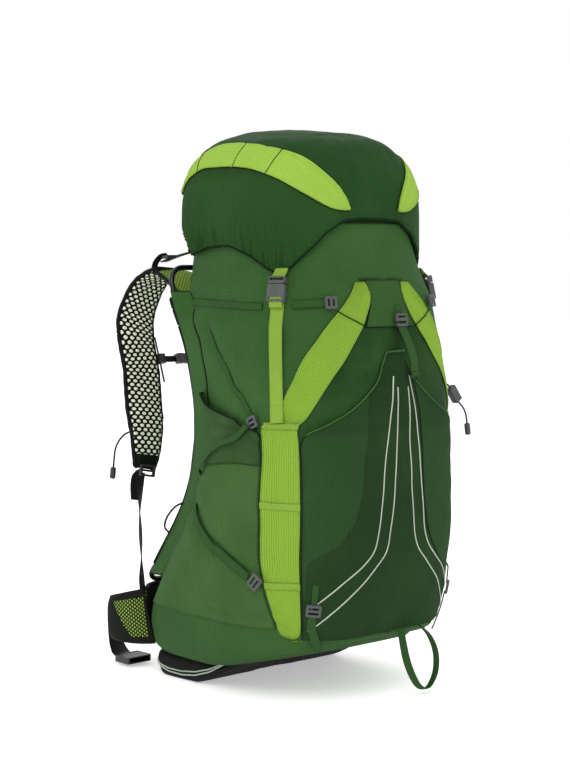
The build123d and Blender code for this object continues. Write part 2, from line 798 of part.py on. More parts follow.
def compression_locks_left():
    """Ladder locks of the compression straps: front of the upper one, middle and lower ones."""
    upper = lock_on_bag(turn_x(-96, 553), 553, 0.05, 0, 5.4, 9.0)
    middle = lock_on_bag(turn_y(-136, 391), 391, 0.03, -12, 4.6, 9.0)
    lower = lock_on_bag(turn_y(-146, 176), 176, 0.03, -4, 9.4, NARROW_WEBBING)
    return Compound([upper, middle, lower])


PAD_STRAP_X = 128.0


def pad_strap_left():
    z = 128.0
    places = [(turn_x(-PAD_STRAP_X, z), z), (turn_x(-PAD_STRAP_X + 2, 108), 108),
              (turn_x(-PAD_STRAP_X + 8, 88), 88)]
    return strap_on(places, NARROW_WEBBING, low=SKIN_GAP * 2 + FABRIC + 1.2, pieces=6)


def pad_strap_lock_left():
    z = 140.0
    return lock_on_bag(turn_x(-PAD_STRAP_X, z), z, 0, -10, 6.6, NARROW_WEBBING)


FLAP_TAIL_X = 15.0


def flap_webbing():
    places = [(turn_x(FLAP_TAIL_X, z), z) for z in (560, 540, 522)]
    return strap_on(places, 15.0, low=SKIN_GAP * 2 + FABRIC, pieces=5)


def flap_tail():
    """Loose end that hangs from the hook over the pocket's peak."""
    line = [bag(turn_x(FLAP_TAIL_X, z), z, out) for z, out in
            ((517, 6.0), (503, 12.5), (488, 19.0), (470, 19.5), (450, 17.5))]
    return ribbon(line, [Vector(0, -1, 0.1).normalized()] * len(line), 15.0, WEBBING)


def hook_plane():
    z = 528.0
    turn = turn_x(FLAP_TAIL_X, z)
    here = bag(turn, z, SKIN_GAP * 2 + FABRIC + WEBBING + MOVE_GAP + 2.5)
    return frame_at(here, (0, -0.16, -1), normal(turn, z))


def flap_hook():
    """Flat hook that holds the flap down; it slides on the flap's webbing."""
    body = fillet(Box(22, 18, 4).edges().filter_by(Axis.Z), 3)
    body -= Pos(0, -4.4, 0) * Box(15.5, 3, 5)
    body -= Pos(0, 3.2, 0) * Box(15.5, 4, 5)
    body -= Pos(9.5, 3.2, 0) * Box(5, 2.2, 5)
    return hook_plane() * body


# ---------------------------------------------------------------- lid
LID_WALL = 2.0
LID_FLOOR_DROP = 83.0
HEM_TIP = (136.0, -157.0, 589.0)     # corner of the hem that carries the buckle: x, y, z
LID_HEIGHTS = [LID_TOP - d for d in (214, 190, 160, 130, 100, 75, 55, 40, 28, 18, 10, 5)]


def lid_inside(turn, z, out=0.0):
    return lid_shape(turn, z, out) - Vector(0, 0, LID_WALL)


def lid_shell():
    """Dome with an open mouth; the hem rises over the front and over each side."""
    x, y, z = HEM_TIP
    shell = tower(lid_shape, LID_HEIGHTS, 0) - tower(lid_inside, LID_HEIGHTS, -LID_WALL)
    half = [(-176, z - 1), (-x, z + 1), (-118, z + 24), (-84, z + 58), (-56, z + 74), (-28, z + 77)]
    hem = half + [(-a, b) for a, b in reversed(half)]
    outline = [(-176, 480)] + hem + [(176, 480)]
    front = extrude(make_face(Polyline(*[(a, y, b) for a, b in outline], close=True)),
                    amount=200, dir=(0, -1, 0))
    arch = [(y, z - 1), (-141, 595), (-107, 614), (-58, 630), (-15, 627), (26, 617), (45, 640),
            (58, 648), (130, 648), (130, 480), (y, 480)]
    return shell - front - prism_x(arch, 200)


def lid_floor():
    z = LID_TOP - LID_FLOOR_DROP
    return extrude(ring_face(lid_shape, z, -LID_WALL - 3 * SKIN_GAP), amount=FABRIC)


CRESCENT = [(119, 106.5, 101), (111, 119, 102), (97, 129, 103), (84, 139, 107), (71, 154, 113),
            (58, 189, 121), (43, 207, 131), (31, 200, 150), (24, 190, 168)]


def lid_crescent_left():
    """Light panel along the lid's upper edge: drop below the crown, and its two turns in degrees."""
    rows = [(LID_TOP - drop, -math.radians(a), -math.radians(b)) for drop, a, b in CRESCENT]
    return sheet(rows, low=3 * SKIN_GAP, shape=lid_shape, columns=12)


ZIP_LEVEL = LID_TOP - 98
ZIP_HALF = 78.0


def lid_back_turn(x, z):
    """Turn of the back-face point of the lid with this x."""
    half = lid_shape(0, z).X
    return math.acos(math.copysign((abs(x) / half) ** (BACK_POWER / 2), x))


def lid_zip():
    places = [(lid_back_turn(x, ZIP_LEVEL), ZIP_LEVEL) for x in (-ZIP_HALF, -40, 0.1, 40, ZIP_HALF)]
    return strap_on(places, 16.0, low=SKIN_GAP, thick=1.2, shape=lid_shape, pieces=10)


ZIP_TRAVEL = 124.0


def lid_zip_slider():
    """Slider at the closed end, with its pull hanging from it."""
    y = lid_shape(math.pi / 2, ZIP_LEVEL, SKIN_GAP + 1.2 + MOVE_GAP).Y + 1.0
    x = ZIP_TRAVEL / 2
    body = box_at(x - 5, x + 5, y, y + 4, ZIP_LEVEL - 6, ZIP_LEVEL + 6)
    pull = box_at(x - 3, x + 3, y + 1, y + 2.6, ZIP_LEVEL - 22, ZIP_LEVEL - 4)
    return body + pull


REAR_STRAP_X = 38.0
REAR_WEBBING = 24.0
BAR = 2.0


def lid_rear_straps():
    """Webbing from the bag's back up to a loop round the bar of each rear buckle."""
    y, z = LID_OPEN_AXIS
    root_y = bag(math.pi / 2, BAG_TOP - 48).Y + 8.5
    solids = []
    for x in (-REAR_STRAP_X, REAR_STRAP_X):
        loop = Plane(origin=(x, y, z), z_dir=(1, 0, 0)) * (
            Cylinder(BAR + MOVE_GAP + WEBBING, REAR_WEBBING) - Cylinder(BAR + MOVE_GAP, REAR_WEBBING + 1))
        low = BAR + MOVE_GAP + 0.3
        side = [(root_y, BAG_TOP - 58), (root_y + 1.8, BAG_TOP - 58), (y - 6, z - 14), (y + 1.2, z - low),
                (y - 2.2, z - low), (y - 9, z - 13)]
        outline = make_face(Polyline(*[(x - REAR_WEBBING / 2, a, b) for a, b in side], close=True))
        solids.append(loop + extrude(outline, amount=REAR_WEBBING, dir=(1, 0, 0)))
    return Compound(solids)


def lid_rear_buckles():
    """On the lid's back: a bar on the turning line between two cheeks."""
    y, z = LID_OPEN_AXIS
    wall = lid_shape(math.pi / 2, z + 18, SKIN_GAP).Y
    solids = []
    for x in (-REAR_STRAP_X, REAR_STRAP_X):
        bar = Plane(origin=(x, y, z), z_dir=(1, 0, 0)) * Cylinder(BAR, REAR_WEBBING + 8)
        cheeks = [box_at(x + s * (REAR_WEBBING / 2 + 2.5) - 1.75, x + s * (REAR_WEBBING / 2 + 2.5) + 1.75,
                         y - 2, y + 2, z, z + 14) for s in (-1, 1)]
        plate = box_at(x - REAR_WEBBING / 2 - 4.25, x + REAR_WEBBING / 2 + 4.25, wall, y + 2, z + 10, z + 26)
        solids.append(bar + cheeks[0] + cheeks[1] + plate)
    return Compound(solids)


# ---------------------------------------------------------------- loops and cords
HAUL_HALF = 25.0
HAUL_DROP = 40.0


def haul_axis():
    return rail_y(FRAME_STOPS[-1]) + TUBE, FRAME_STOPS[-1]


def haul_loop():
    """Hand loop that hangs from two sleeves round the frame's top run."""
    y, z = haul_axis()
    inner = TUBE / 2 + MOVE_GAP
    sleeves = [Plane(origin=(x, y, z), z_dir=(1, 0, 0)) * (
        Cylinder(inner + WEBBING, 14) - Cylinder(inner, 15)) for x in (-HAUL_HALF, HAUL_HALF)]
    top = z - inner - 1.0
    low = z - HAUL_DROP
    right = [(HAUL_HALF - 7, y + 1, low + 6), (HAUL_HALF, y + 1, low + 20), (HAUL_HALF, y, top)]
    points = [(-a, b, c) for a, b, c in reversed(right)] + [(0, y + 1, low)] + right
    line = smooth_path(points, 20)
    return ribbon(line, [Vector(0, 1, 0)] * len(line), 12.0, 2.4) + sleeves[0] + sleeves[1]


AXE_AXIS = (-245.0, 103.0)
AXE_ROUTE = [(8, 102), (11, 84), (22, 48), (42, 16), (62, 9), (78, 28), (79, 56), (66, 82), (46, 100)]


def axe_loop():
    """Webbing loop for an ice-axe shaft, sewn at both ends to the front of the bag's foot."""
    line = smooth_path([(x, AXE_AXIS[0], z) for x, z in AXE_ROUTE], 24)
    outs = []
    for i in range(len(line)):
        ahead = line[min(i + 1, len(line) - 1)] - line[max(i - 1, 0)]
        outs.append(ahead.cross(Vector(0, 1, 0)).normalized())
    return ribbon(line, outs, 11.0, 1.8)


STRAP_CORD_ROUTE = [(-112, 192, 353), (-116, 203, 352), (-120, 216, 347), (-122, 228, 336), (-122, 237, 323),
                    (-121, 241, 308), (-121, 243, 294)]
TOOL_CORD_ROUTE = [(166, -140, 430), (182, -143, 434), (199, -146, 432), (213, -148, 422)]
TOOL_TAIL_ROUTE = [(228, -150, 400), (238, -151, 392), (245, -152, 380), (247, -152, 366)]


def strap_bungee():
    return cord_along("strap_bungee", STRAP_CORD_ROUTE, BUNGEE)


def cord_pull(route):
    """Oval finger pull on the end of a cord."""
    end = Vector(*route[-1])
    way = (end - Vector(*route[-2])).normalized()
    middle = end + way * 9
    body = Plane(origin=middle, z_dir=way) * Cylinder(4.5, 18)
    return fillet(body.edges(), 2.5)


def strap_bungee_pull():
    return cord_pull(STRAP_CORD_ROUTE)


def tool_bungee():
    """The two lengths of one cord, either side of its lock."""
    return Compound([cord_along("tool_bungee", TOOL_CORD_ROUTE, BUNGEE),
                     cord_along("tool_bungee tail", TOOL_TAIL_ROUTE, BUNGEE)])


def tool_lock_place():
    a = Vector(*TOOL_CORD_ROUTE[-1])
    b = Vector(*TOOL_TAIL_ROUTE[0])
    return (a + b) * 0.5, (b - a).normalized(), (b - a).length


def tool_cord_lock():
    """Block that the cord runs through, from face to face."""
    middle, way, length = tool_lock_place()
    body = Plane(origin=middle, x_dir=(0, 1, 0), z_dir=way) * Box(12, 14, length)
    return fillet(body.edges(), 2.5)


def tool_bungee_pull():
    return cord_pull(TOOL_TAIL_ROUTE)


# ---------------------------------------------------------------- every piece, one file each
PIECES = {
    "main_bag": main_bag, "base_panel": base_panel, "drawcord_collar": drawcord_collar,
    "collar_drawcord": collar_drawcord, "collar_cord_lock": collar_cord_lock,
    "collar_lock_button": collar_lock_button, "frame_hoop": frame_hoop,
    "frame_cross_strut": frame_cross_strut, "back_mesh": back_mesh, "lumbar_pad": lumbar_pad,
    "harness_yoke": harness_yoke, "chest_rails": chest_rails, "chest_buckle_socket": chest_buckle_socket,
    "chest_buckle_plug": chest_buckle_plug, "hip_buckle_socket": hip_buckle_socket,
    "hip_buckle_plug": hip_buckle_plug, "front_flap": front_flap, "front_pocket": front_pocket,
    "flap_webbing": flap_webbing, "flap_tail": flap_tail,
    "flap_hook": flap_hook, "lid_shell": lid_shell, "lid_floor": lid_floor, "lid_zip": lid_zip,
    "lid_zip_slider": lid_zip_slider, "lid_rear_straps": lid_rear_straps,
    "lid_rear_buckles": lid_rear_buckles, "haul_loop": haul_loop, "axe_loop": axe_loop,
    "strap_bungee": strap_bungee, "strap_bungee_pull": strap_bungee_pull,
    "tool_bungee": tool_bungee, "tool_cord_lock": tool_cord_lock, "tool_bungee_pull": tool_bungee_pull,
}
# Pieces that the pack has on both sides, made on the left and mirrored.
PAIRS = {
    "shoulder_strap": shoulder_strap_left, "hip_wing": hip_wing_left, "hip_webbing": hip_webbing_left,
    "side_band": side_band_left, "lid_buckle_socket": lid_buckle_socket_left,
    "side_pocket": side_pocket_left,
}
# Alike pairs that share one file as a group, made on the left and mirrored.
GROUPS = {
    "strap_webbings": [strap_webbing_left], "strap_ladder_locks": [strap_ladder_lock_left],
    "load_lifters": [load_lifter_left], "load_lifter_buckles": [load_lifter_buckle_left],
    "chest_sliders": [chest_slider_left], "chest_webbings": [chest_webbing_left],
    "lid_straps": [lid_strap_left], "lid_buckle_plugs": [lid_buckle_plug_left],
    "lid_crescents": [lid_crescent_left],
    "upper_compression_straps": [upper_compression_strap_left, upper_compression_front_left],
    "slant_compression_straps": [slant_compression_strap_left],
    "lower_compression_straps": [pocket_compression_strap_left, lower_compression_strap_left],
    "compression_locks": [compression_locks_left, pad_strap_lock_left], "pad_straps": [pad_strap_left],
}

solids = {name: make() for name, make in PIECES.items()}
for name, make in PAIRS.items():
    solids[name + "_left"] = make()
    solids[name + "_right"] = other_side(solids[name + "_left"])
for name, makers in GROUPS.items():
    left = [solid for make in makers for solid in make().solids()]
    solids[name] = Compound(left + [other_side(solid) for solid in left])
for name, solid in solids.items():
    export_step(solid, "parts/" + name + ".step")
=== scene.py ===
import bpy
import math
import numpy as np
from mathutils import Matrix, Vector


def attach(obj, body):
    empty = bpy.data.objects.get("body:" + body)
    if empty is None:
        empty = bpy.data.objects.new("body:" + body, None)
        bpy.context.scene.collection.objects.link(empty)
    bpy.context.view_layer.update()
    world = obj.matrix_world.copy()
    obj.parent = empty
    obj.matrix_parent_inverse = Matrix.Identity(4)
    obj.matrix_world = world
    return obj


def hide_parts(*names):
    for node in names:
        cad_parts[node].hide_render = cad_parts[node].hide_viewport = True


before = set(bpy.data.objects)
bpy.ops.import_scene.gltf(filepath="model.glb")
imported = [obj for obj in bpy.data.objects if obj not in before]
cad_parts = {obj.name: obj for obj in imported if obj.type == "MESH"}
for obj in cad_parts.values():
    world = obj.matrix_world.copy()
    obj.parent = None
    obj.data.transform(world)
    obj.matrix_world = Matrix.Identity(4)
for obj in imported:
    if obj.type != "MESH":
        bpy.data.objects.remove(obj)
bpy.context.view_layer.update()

MM = 0.001
TAU = 2 * math.pi

# ------------------------------------------------------------------ driving sizes, as on the frame
BAG_HALF = 0.176
BAG_FRONT = -0.252
BAG_TOP = 0.660
LID_TOP = 0.795
LID_MIDDLE = -0.054
FRONT_POWER = 2.9
BACK_POWER = 3.5
GAP = 0.0006
CLOTH = 0.0012
WEBBING = 0.0016
STITCH = 0.0034
LONG_STITCH = 0.0036
# Levels of the bag: height, side inset, front setback, y of the back, of the widest line, hollow.
BAG_LEVELS = MM * np.array([
    (30, 18, 80, 153, -22, 0), (60, 11, 45, 163, -22, 0), (100, 4, 20, 153, -42, 12),
    (180, 0, 3, 95, -62, 38), (280, 4, 0, 31, -92, 45), (380, 8, 5, 13, -102, 45),
    (480, 13, 17, 31, -92, 45), (560, 20, 30, 66, -72, 32), (600, 31, 47, 72, -58, 18),
    (630, 36, 54, 72, -52, 10), (660, 40, 59, 70, -52, 6)], float)
# Levels of the lid: height, side inset, front setback, y of the back.
LID_LEVELS = MM * np.array([
    (580, 22, 40, 84), (620, 24.5, 46, 87), (655, 22, 51, 91), (690, 23, 54, 91),
    (725, 28, 63, 83), (755, 41, 81, 65), (777, 64, 102, 40), (790, 101, 132, 6)], float)


# ------------------------------------------------------------------ smooth helpers
def blend_row(table, z, column):
    """A column of a level table at height z: cubic Hermite curve through the levels."""
    heights = table[:, 0]
    values = table[:, column]
    count = len(heights)
    before = np.maximum(np.arange(count) - 1, 0)
    after = np.minimum(np.arange(count) + 1, count - 1)
    slopes = (values[after] - values[before]) / (heights[after] - heights[before])
    z = np.clip(z, heights[0], heights[-1])
    i = np.clip(np.searchsorted(heights, z) - 1, 0, count - 2)
    span = heights[i + 1] - heights[i]
    q = (z - heights[i]) / span
    return ((2 * q**3 - 3 * q**2 + 1) * values[i] + (q**3 - 2 * q**2 + q) * span * slopes[i]
            + (3 * q**2 - 2 * q**3) * values[i + 1] + (q**3 - q**2) * span * slopes[i + 1])


def unit(v):
    return v / np.maximum(np.linalg.norm(v, axis=-1, keepdims=True), 1e-12)


def rise(value, start, end):
    """0 before start, 1 after end, smooth between them."""
    q = np.clip((value - start) / (end - start), 0, 1)
    return q * q * (3 - 2 * q)


def curve_through(points, count):
    """Catmull-Rom curve through the given rows, evenly in their number; any columns."""
    p = np.asarray(points, float)
    s = np.linspace(0, len(p) - 1, count)
    i = np.clip(s.astype(int), 0, len(p) - 2)
    q = (s - i)[:, None]
    a, b, c, d = (p[np.clip(i + k, 0, len(p) - 1)] for k in (-1, 0, 1, 2))
    return 0.5 * (2 * b + (c - a) * q + (2 * a - 5 * b + 4 * c - d) * q**2
                  + (3 * b - a - 3 * c + d) * q**3)


def all_round(count):
    """Turns once round, starting and ending at the middle of the back."""
    return np.linspace(-1.5 * math.pi, 0.5 * math.pi, count, endpoint=False)


def run_along(points):
    """Distance along a line of points, from its start."""
    return np.concatenate([[0], np.cumsum(np.linalg.norm(np.diff(points, axis=0), axis=1))])


def facing(way, line):
    """The same unit normal for each point of a line."""
    return np.repeat(unit(np.array(way))[None], len(line), 0)


def discs(middle, edge, shares, height):
    """Rings drawn in from an edge to the middle, each at the height of its places."""
    rows = []
    for share in shares:
        p = middle + (edge - middle) * share
        p[:, 2] = height(p, share)
        rows.append(p)
    return rows


def even_curve(points, step):
    """The same curve in steps of about equal length."""
    fine = curve_through(points, 40 * len(points))
    run = run_along(fine)
    count = max(int(run[-1] / step) + 1, 3)
    s = np.linspace(0, run[-1], count)
    return np.stack([np.interp(s, run, fine[:, k]) for k in range(3)], -1)


def soft_noise(points, size, seed):
    """Sum of six bent sine waves in fixed random directions; about -1 to 1."""
    rng = np.random.default_rng(seed)
    total = 0.0
    for _ in range(6):
        way, bend = unit(rng.normal(size=3)), unit(rng.normal(size=3))
        rate = TAU / size * rng.uniform(0.7, 1.4)
        a, b = rng.uniform(0, TAU, 2)
        total = total + np.sin(points @ way * rate + a + 1.5 * np.sin(points @ bend * rate / 1.7 + b))
    return total / 3.4


def creases(points, size, seed, stretch=(1, 1, 1)):
    """Narrow lines where a stretched soft noise passes zero: 1 on the line, 0 away from it."""
    value = soft_noise(points * np.array(stretch), size, seed)
    patch = 0.5 + 0.5 * soft_noise(points, size * 2.2, seed + 50)
    return np.clip(1 - np.abs(value) * 3.2, 0, 1) ** 2 * np.clip(patch, 0, 1)


def line_distance(points, path):
    """Distance from each point to the nearest run of a path."""
    best = np.full(points.shape[:-1], 1e9)
    for a, b in zip(path[:-1], path[1:]):
        d = b - a
        q = np.clip(((points - a) @ d) / max(d @ d, 1e-12), 0, 1)
        best = np.minimum(best, np.linalg.norm(points - a - q[..., None] * d, axis=-1))
    return best


# ------------------------------------------------------------------ surfaces of the bag and the lid
def ring(turn, half, front, back, middle, hollow, out):
    """Superellipse in plan: x on the cosine, y on the sine, each raised to 2 over the power."""
    c, s = np.cos(turn), np.sin(turn)
    power = 2 / np.where(s < 0, FRONT_POWER, BACK_POWER)
    x = (half + out) * np.sign(c) * np.abs(c) ** power
    reach = np.where(s > 0, back - middle + out, -(middle - front + out))
    y = middle + reach * np.abs(s) ** power
    across = np.minimum(np.abs(x) / (0.84 * half), 1.0)
    return x, y - np.where(s > 0, hollow * (1 - across**2) ** 2, 0.0)


def bag(turn, z, out=0.0):
    """Point on the bag; turn is -90 degrees at the front and -180 at the left."""
    turn, z = np.broadcast_arrays(np.asarray(turn, float), np.asarray(z, float))
    row = [blend_row(BAG_LEVELS, z, k) for k in range(1, 6)]
    x, y = ring(turn, BAG_HALF - row[0], BAG_FRONT + row[1], row[2], row[3], row[4], out)
    return np.stack([x, y, z], -1)


def lid_shape(turn, z, out=0.0):
    """Point on the lid, in the same way."""
    turn, z = np.broadcast_arrays(np.asarray(turn, float), np.asarray(z, float))
    row = [blend_row(LID_LEVELS, z, k) for k in range(1, 4)]
    x, y = ring(turn, BAG_HALF - row[0], BAG_FRONT + row[1], row[2], LID_MIDDLE, 0.0, out)
    return np.stack([x, y, z], -1)


def outward(shape, turn, z):
    """Unit normal from small steps along the surface."""
    along = shape(turn + 0.004, z) - shape(turn - 0.004, z)
    up = shape(turn, z + MM) - shape(turn, z - MM)
    return unit(np.cross(along, up))


def turn_x(x, z):
    """Turn of the front-face point of the bag with this x."""
    half = BAG_HALF - blend_row(BAG_LEVELS, np.asarray(z, float), 1)
    share = np.minimum(np.abs(x) / half, 1.0) ** (FRONT_POWER / 2)
    return -np.arccos(np.sign(x) * share)


def turn_y(y, z):
    """Turn of the left-side point of the bag with this y."""
    z = np.asarray(z, float)
    front = BAG_FRONT + blend_row(BAG_LEVELS, z, 2)
    back, middle = blend_row(BAG_LEVELS, z, 3), blend_row(BAG_LEVELS, z, 4)
    ahead = np.clip((middle - y) / (middle - front), 0, 1) ** (FRONT_POWER / 2)
    behind = np.clip((y - middle) / (back - middle), 0, 1) ** (BACK_POWER / 2)
    return -math.pi + np.arcsin(ahead) - np.arcsin(behind)


def side_way(places):
    """Places given as (y, z) on the left side, as turns and heights."""
    return np.array([(turn_y(y, z), z) for y, z in places], float)


def front_way(places):
    """Places given as (x, z) on the front, as turns and heights."""
    return np.array([(turn_x(x, z), z) for x, z in places], float)


# Webbing routes on the left side of the bag, as turns and heights.
UPPER_WAY = side_way([(.040, .550), (0, .551), (-.060, .549), (-.120, .547), (-.138, .547)])
UPPER_FRONT_WAY = front_way([(-.136, .550), (-.118, .551), (-.100, .5525)])
SLANT_WAY = side_way([(-.025, .517), (-.045, .488), (-.072, .459), (-.102, .427), (-.124, .405), (-.131, .397)])
POCKET_WAY = side_way([(-.131, .386), (-.124, .378), (-.092, .363), (-.050, .340), (-.020, .310)])
LOWER_WAY = side_way([(-.002, .266), (-.038, .228), (-.092, .200), (-.134, .180)])
LOCK_PLACES = np.array([
    bag(turn_x(-.096, .553), .553), bag(turn_y(-.136, .391), .391), bag(turn_y(-.146, .176), .176),
    bag(turn_x(-.128, .140), .140), bag(turn_x(-.150, .545), .545), bag(turn_x(-.150, .575), .575)])
HOOK_PLACE = bag(turn_x(.015, .524), .524)


def mirrored(points):
    return points * np.array([-1.0, 1.0, 1.0])


laid = {"right": False}


def sides():
    """The left side, then the right; pieces of the right are laid as left ones and mirrored, on
    the folds that the right side has."""
    for laid["right"], side in ((False, "left"), (True, "right")):
        yield laid["right"], side
    laid["right"] = False


def left_half(points):
    """The same points folded over to the left side."""
    return points * np.stack([np.where(points[..., 0] > 0, -1.0, 1.0), np.ones(points.shape[:-1]),
                              np.ones(points.shape[:-1])], -1)


TIGHT_LINES = [bag(w[:, 0], w[:, 1]) for w in (UPPER_WAY, SLANT_WAY, LOWER_WAY)]
SEAM_LINES = {
    "dart": bag(*side_way([(-.049, .127), (-.100, .122), (-.150, .128), (-.184, .112)]).T),
    "back": bag(*side_way([(.030, .600), (.028, .560), (.012, .500), (0, .440)]).T),
    "foot": bag(*side_way([(.004, .280), (.030, .225), (.066, .170), (.094, .120), (.100, .080)]).T),
}


def bag_relief(points):
    """How far the filled cloth stands out: slow swells, hollows under tight webbing with a swell
    either side, the valleys of seams, and slanting creases; nearly none where hardware lies."""
    left = left_half(points)
    lopsided = points + np.array([0.37, 0, 0]) * (points[..., :1] > 0)
    height = 2.0 * MM * soft_noise(lopsided, 0.20, 3) + 0.8 * MM * soft_noise(lopsided, 0.07, 4)
    height -= 0.9 * MM * creases(lopsided, 0.11, 8, (1.0, 1.0, 0.8))
    height -= 0.3 * MM * creases(lopsided, 0.05, 12)
    for path in TIGHT_LINES:
        away = line_distance(left, path)
        height += MM * (3.0 * np.exp(-((away - 0.026) / 0.016) ** 2) - 3.2 * np.exp(-(away / 0.011) ** 2))
        pulls = np.sin((left[..., 1] + 0.6 * left[..., 2]) * TAU / 0.021 + 2 * soft_noise(left, 0.05, 21))
        height += 0.5 * MM * pulls * np.exp(-((away - 0.014) / 0.009) ** 2)
    for path in SEAM_LINES.values():
        away = line_distance(left, path)
        height += MM * (0.9 * np.exp(-((away - 0.008) / 0.005) ** 2) - 1.6 * np.exp(-(away / 0.0026) ** 2))
        pulls = np.sin((left[..., 1] - left[..., 2]) * TAU / 0.011)
        height += 0.35 * MM * pulls * np.exp(-((away - 0.007) / 0.005) ** 2)
    under_lid = rise(points[..., 2], 0.60, 0.64)
    height *= 1 - 0.7 * under_lid
    calm = 1.0
    for place in LOCK_PLACES:
        calm = calm * (1 - np.exp(-(np.linalg.norm(left - place, axis=-1) / 0.024) ** 2))
    calm = calm * (1 - np.exp(-(np.linalg.norm(points - HOOK_PLACE, axis=-1) / 0.024) ** 2))
    return height * calm


def on_bag(turn, z, out=0.0):
    """Point a distance out from the bag's own cloth, folds included."""
    base = bag(turn, z)
    folds = bag_relief(mirrored(base) if laid["right"] else base)
    return base + outward(bag, turn, z) * (out + folds)[..., None]


# ------------------------------------------------------------------ the lid's cloth
HEM_FRONT = ([.028, .056, .084, .118, .136, .176], [.666, .663, .647, .613, .590, .588])
HEM_SIDE = ([-.157, -.141, -.107, -.058, -.015, .026, .045, .058, .130],
            [.588, .595, .614, .630, .627, .617, .640, .648, .648])


def hem_height(turn):
    """Height of the lid's hem at a turn: over the front in one curve, over each side in an arch."""
    turns = np.linspace(-1.5 * math.pi, 0.5 * math.pi, 721)
    z = np.full(turns.shape, 0.62)
    for _ in range(30):
        p = lid_shape(turns, z)
        front = np.interp(np.abs(p[:, 0]), *HEM_FRONT)
        side = np.interp(p[:, 1], *HEM_SIDE)
        z = 0.5 * z + 0.5 * np.where(p[:, 1] < -.157, front, side)
    kernel = np.exp(-np.linspace(-2, 2, 9) ** 2)
    z = np.convolve(np.concatenate([z[-5:-1], z, z[1:5]]), kernel / kernel.sum(), "valid")
    wrapped = (np.asarray(turn) + 1.5 * math.pi) % TAU - 1.5 * math.pi
    return np.interp(wrapped, turns, z)


def lid_turn(point):
    """Turn of the lid's point nearest to a point at its own height."""
    x, y, z = point
    half = BAG_HALF - blend_row(LID_LEVELS, z, 1)
    front = BAG_FRONT + blend_row(LID_LEVELS, z, 2)
    back = blend_row(LID_LEVELS, z, 3)
    power = FRONT_POWER if y < LID_MIDDLE else BACK_POWER
    reach = LID_MIDDLE - front if y < LID_MIDDLE else back - LID_MIDDLE
    c = math.copysign(min(abs(x) / half, 1.2) ** (power / 2), x)
    s = math.copysign(min(abs(y - LID_MIDDLE) / reach, 1.2) ** (power / 2), y - LID_MIDDLE)
    turn = math.atan2(s, c)
    return turn - TAU if turn > math.pi / 2 else turn


# Edges of the light crescent on the lid's left, from the back end to the front tip.
CRESCENT_HIGH = [(-.134, .058, .712), (-.131, .034, .741), (-.127, .023, .752), (-.121, -.001, .766),
                 (-.113, -.034, .774), (-.116, -.070, .773), (-.116, -.105, .768), (-.100, -.155, .752),
                 (-.073, -.186, .722), (-.056, -.198, .698), (-.048, -.201, .681)]
CRESCENT_LOW = [(-.138, .062, .704), (-.139, .044, .718), (-.142, .022, .730), (-.143, .000, .737),
                (-.144, -.030, .739), (-.144, -.070, .738), (-.142, -.105, .733), (-.134, -.146, .719),
                (-.112, -.178, .698), (-.080, -.196, .680), (-.050, -.202, .677)]
crescent_high = np.array([(lid_turn(p), p[2]) for p in CRESCENT_HIGH])
crescent_low = np.array([(lid_turn(p), p[2]) for p in CRESCENT_LOW])


def lid_swells(points, calm=1.0):
    """Slow swells and creases of the full lid, in metres."""
    return (2.2 * MM * soft_noise(points, 0.19, 31) + 0.7 * MM * soft_noise(points, 0.06, 32)
            - 0.8 * MM * creases(points, 0.06, 33, (1, 1, 0.5)) * calm)


def lid_relief(points, turn):
    """The lid's swells, gathers that run up from the elastic hem of each side, and the pull of the
    buckle corner."""
    above = points[..., 2] - hem_height(turn)
    side = rise(np.abs(points[..., 0]), 0.100, 0.128) * (1 - rise(points[..., 2], 0.705, 0.735))
    side = side * rise(-points[..., 1], -0.075, -0.050)
    bend = points[..., 1] + 0.0022 * soft_noise(points, 0.09, 35) + 0.10 * (points[..., 1] + 0.06) * above / 0.08
    still = points * np.array([1, 1, 0.25])
    fine = np.sin(bend * TAU / 0.0062 + 1.3 * soft_noise(still, 0.05, 36))
    broad = np.sin(bend * TAU / 0.0150 + 1.6 * soft_noise(still, 0.07, 37))
    gather = np.exp(-(np.maximum(above, 0) / 0.055) ** 1.3) * (1.0 * fine + 0.7 * broad)
    gather = gather + 0.15 * fine * np.exp(-(np.maximum(above - 0.05, 0) / 0.05) ** 2)
    corner = np.linalg.norm(left_half(points) - np.array([-.136, -.157, .589]), axis=-1)
    return (lid_swells(points, 1 - 0.6 * side) + side * MM * gather - 2.6 * MM * np.exp(-(above / 0.007) ** 2)
            - 2.0 * MM * np.exp(-(corner / 0.03) ** 2))


def on_lid(turn, z, out=0.0):
    """Point a distance out from the lid's own cloth, folds included."""
    base = lid_shape(turn, z)
    folds = lid_relief(mirrored(base) if laid["right"] else base, turn)
    return base + outward(lid_shape, turn, z) * (out + folds)[..., None]


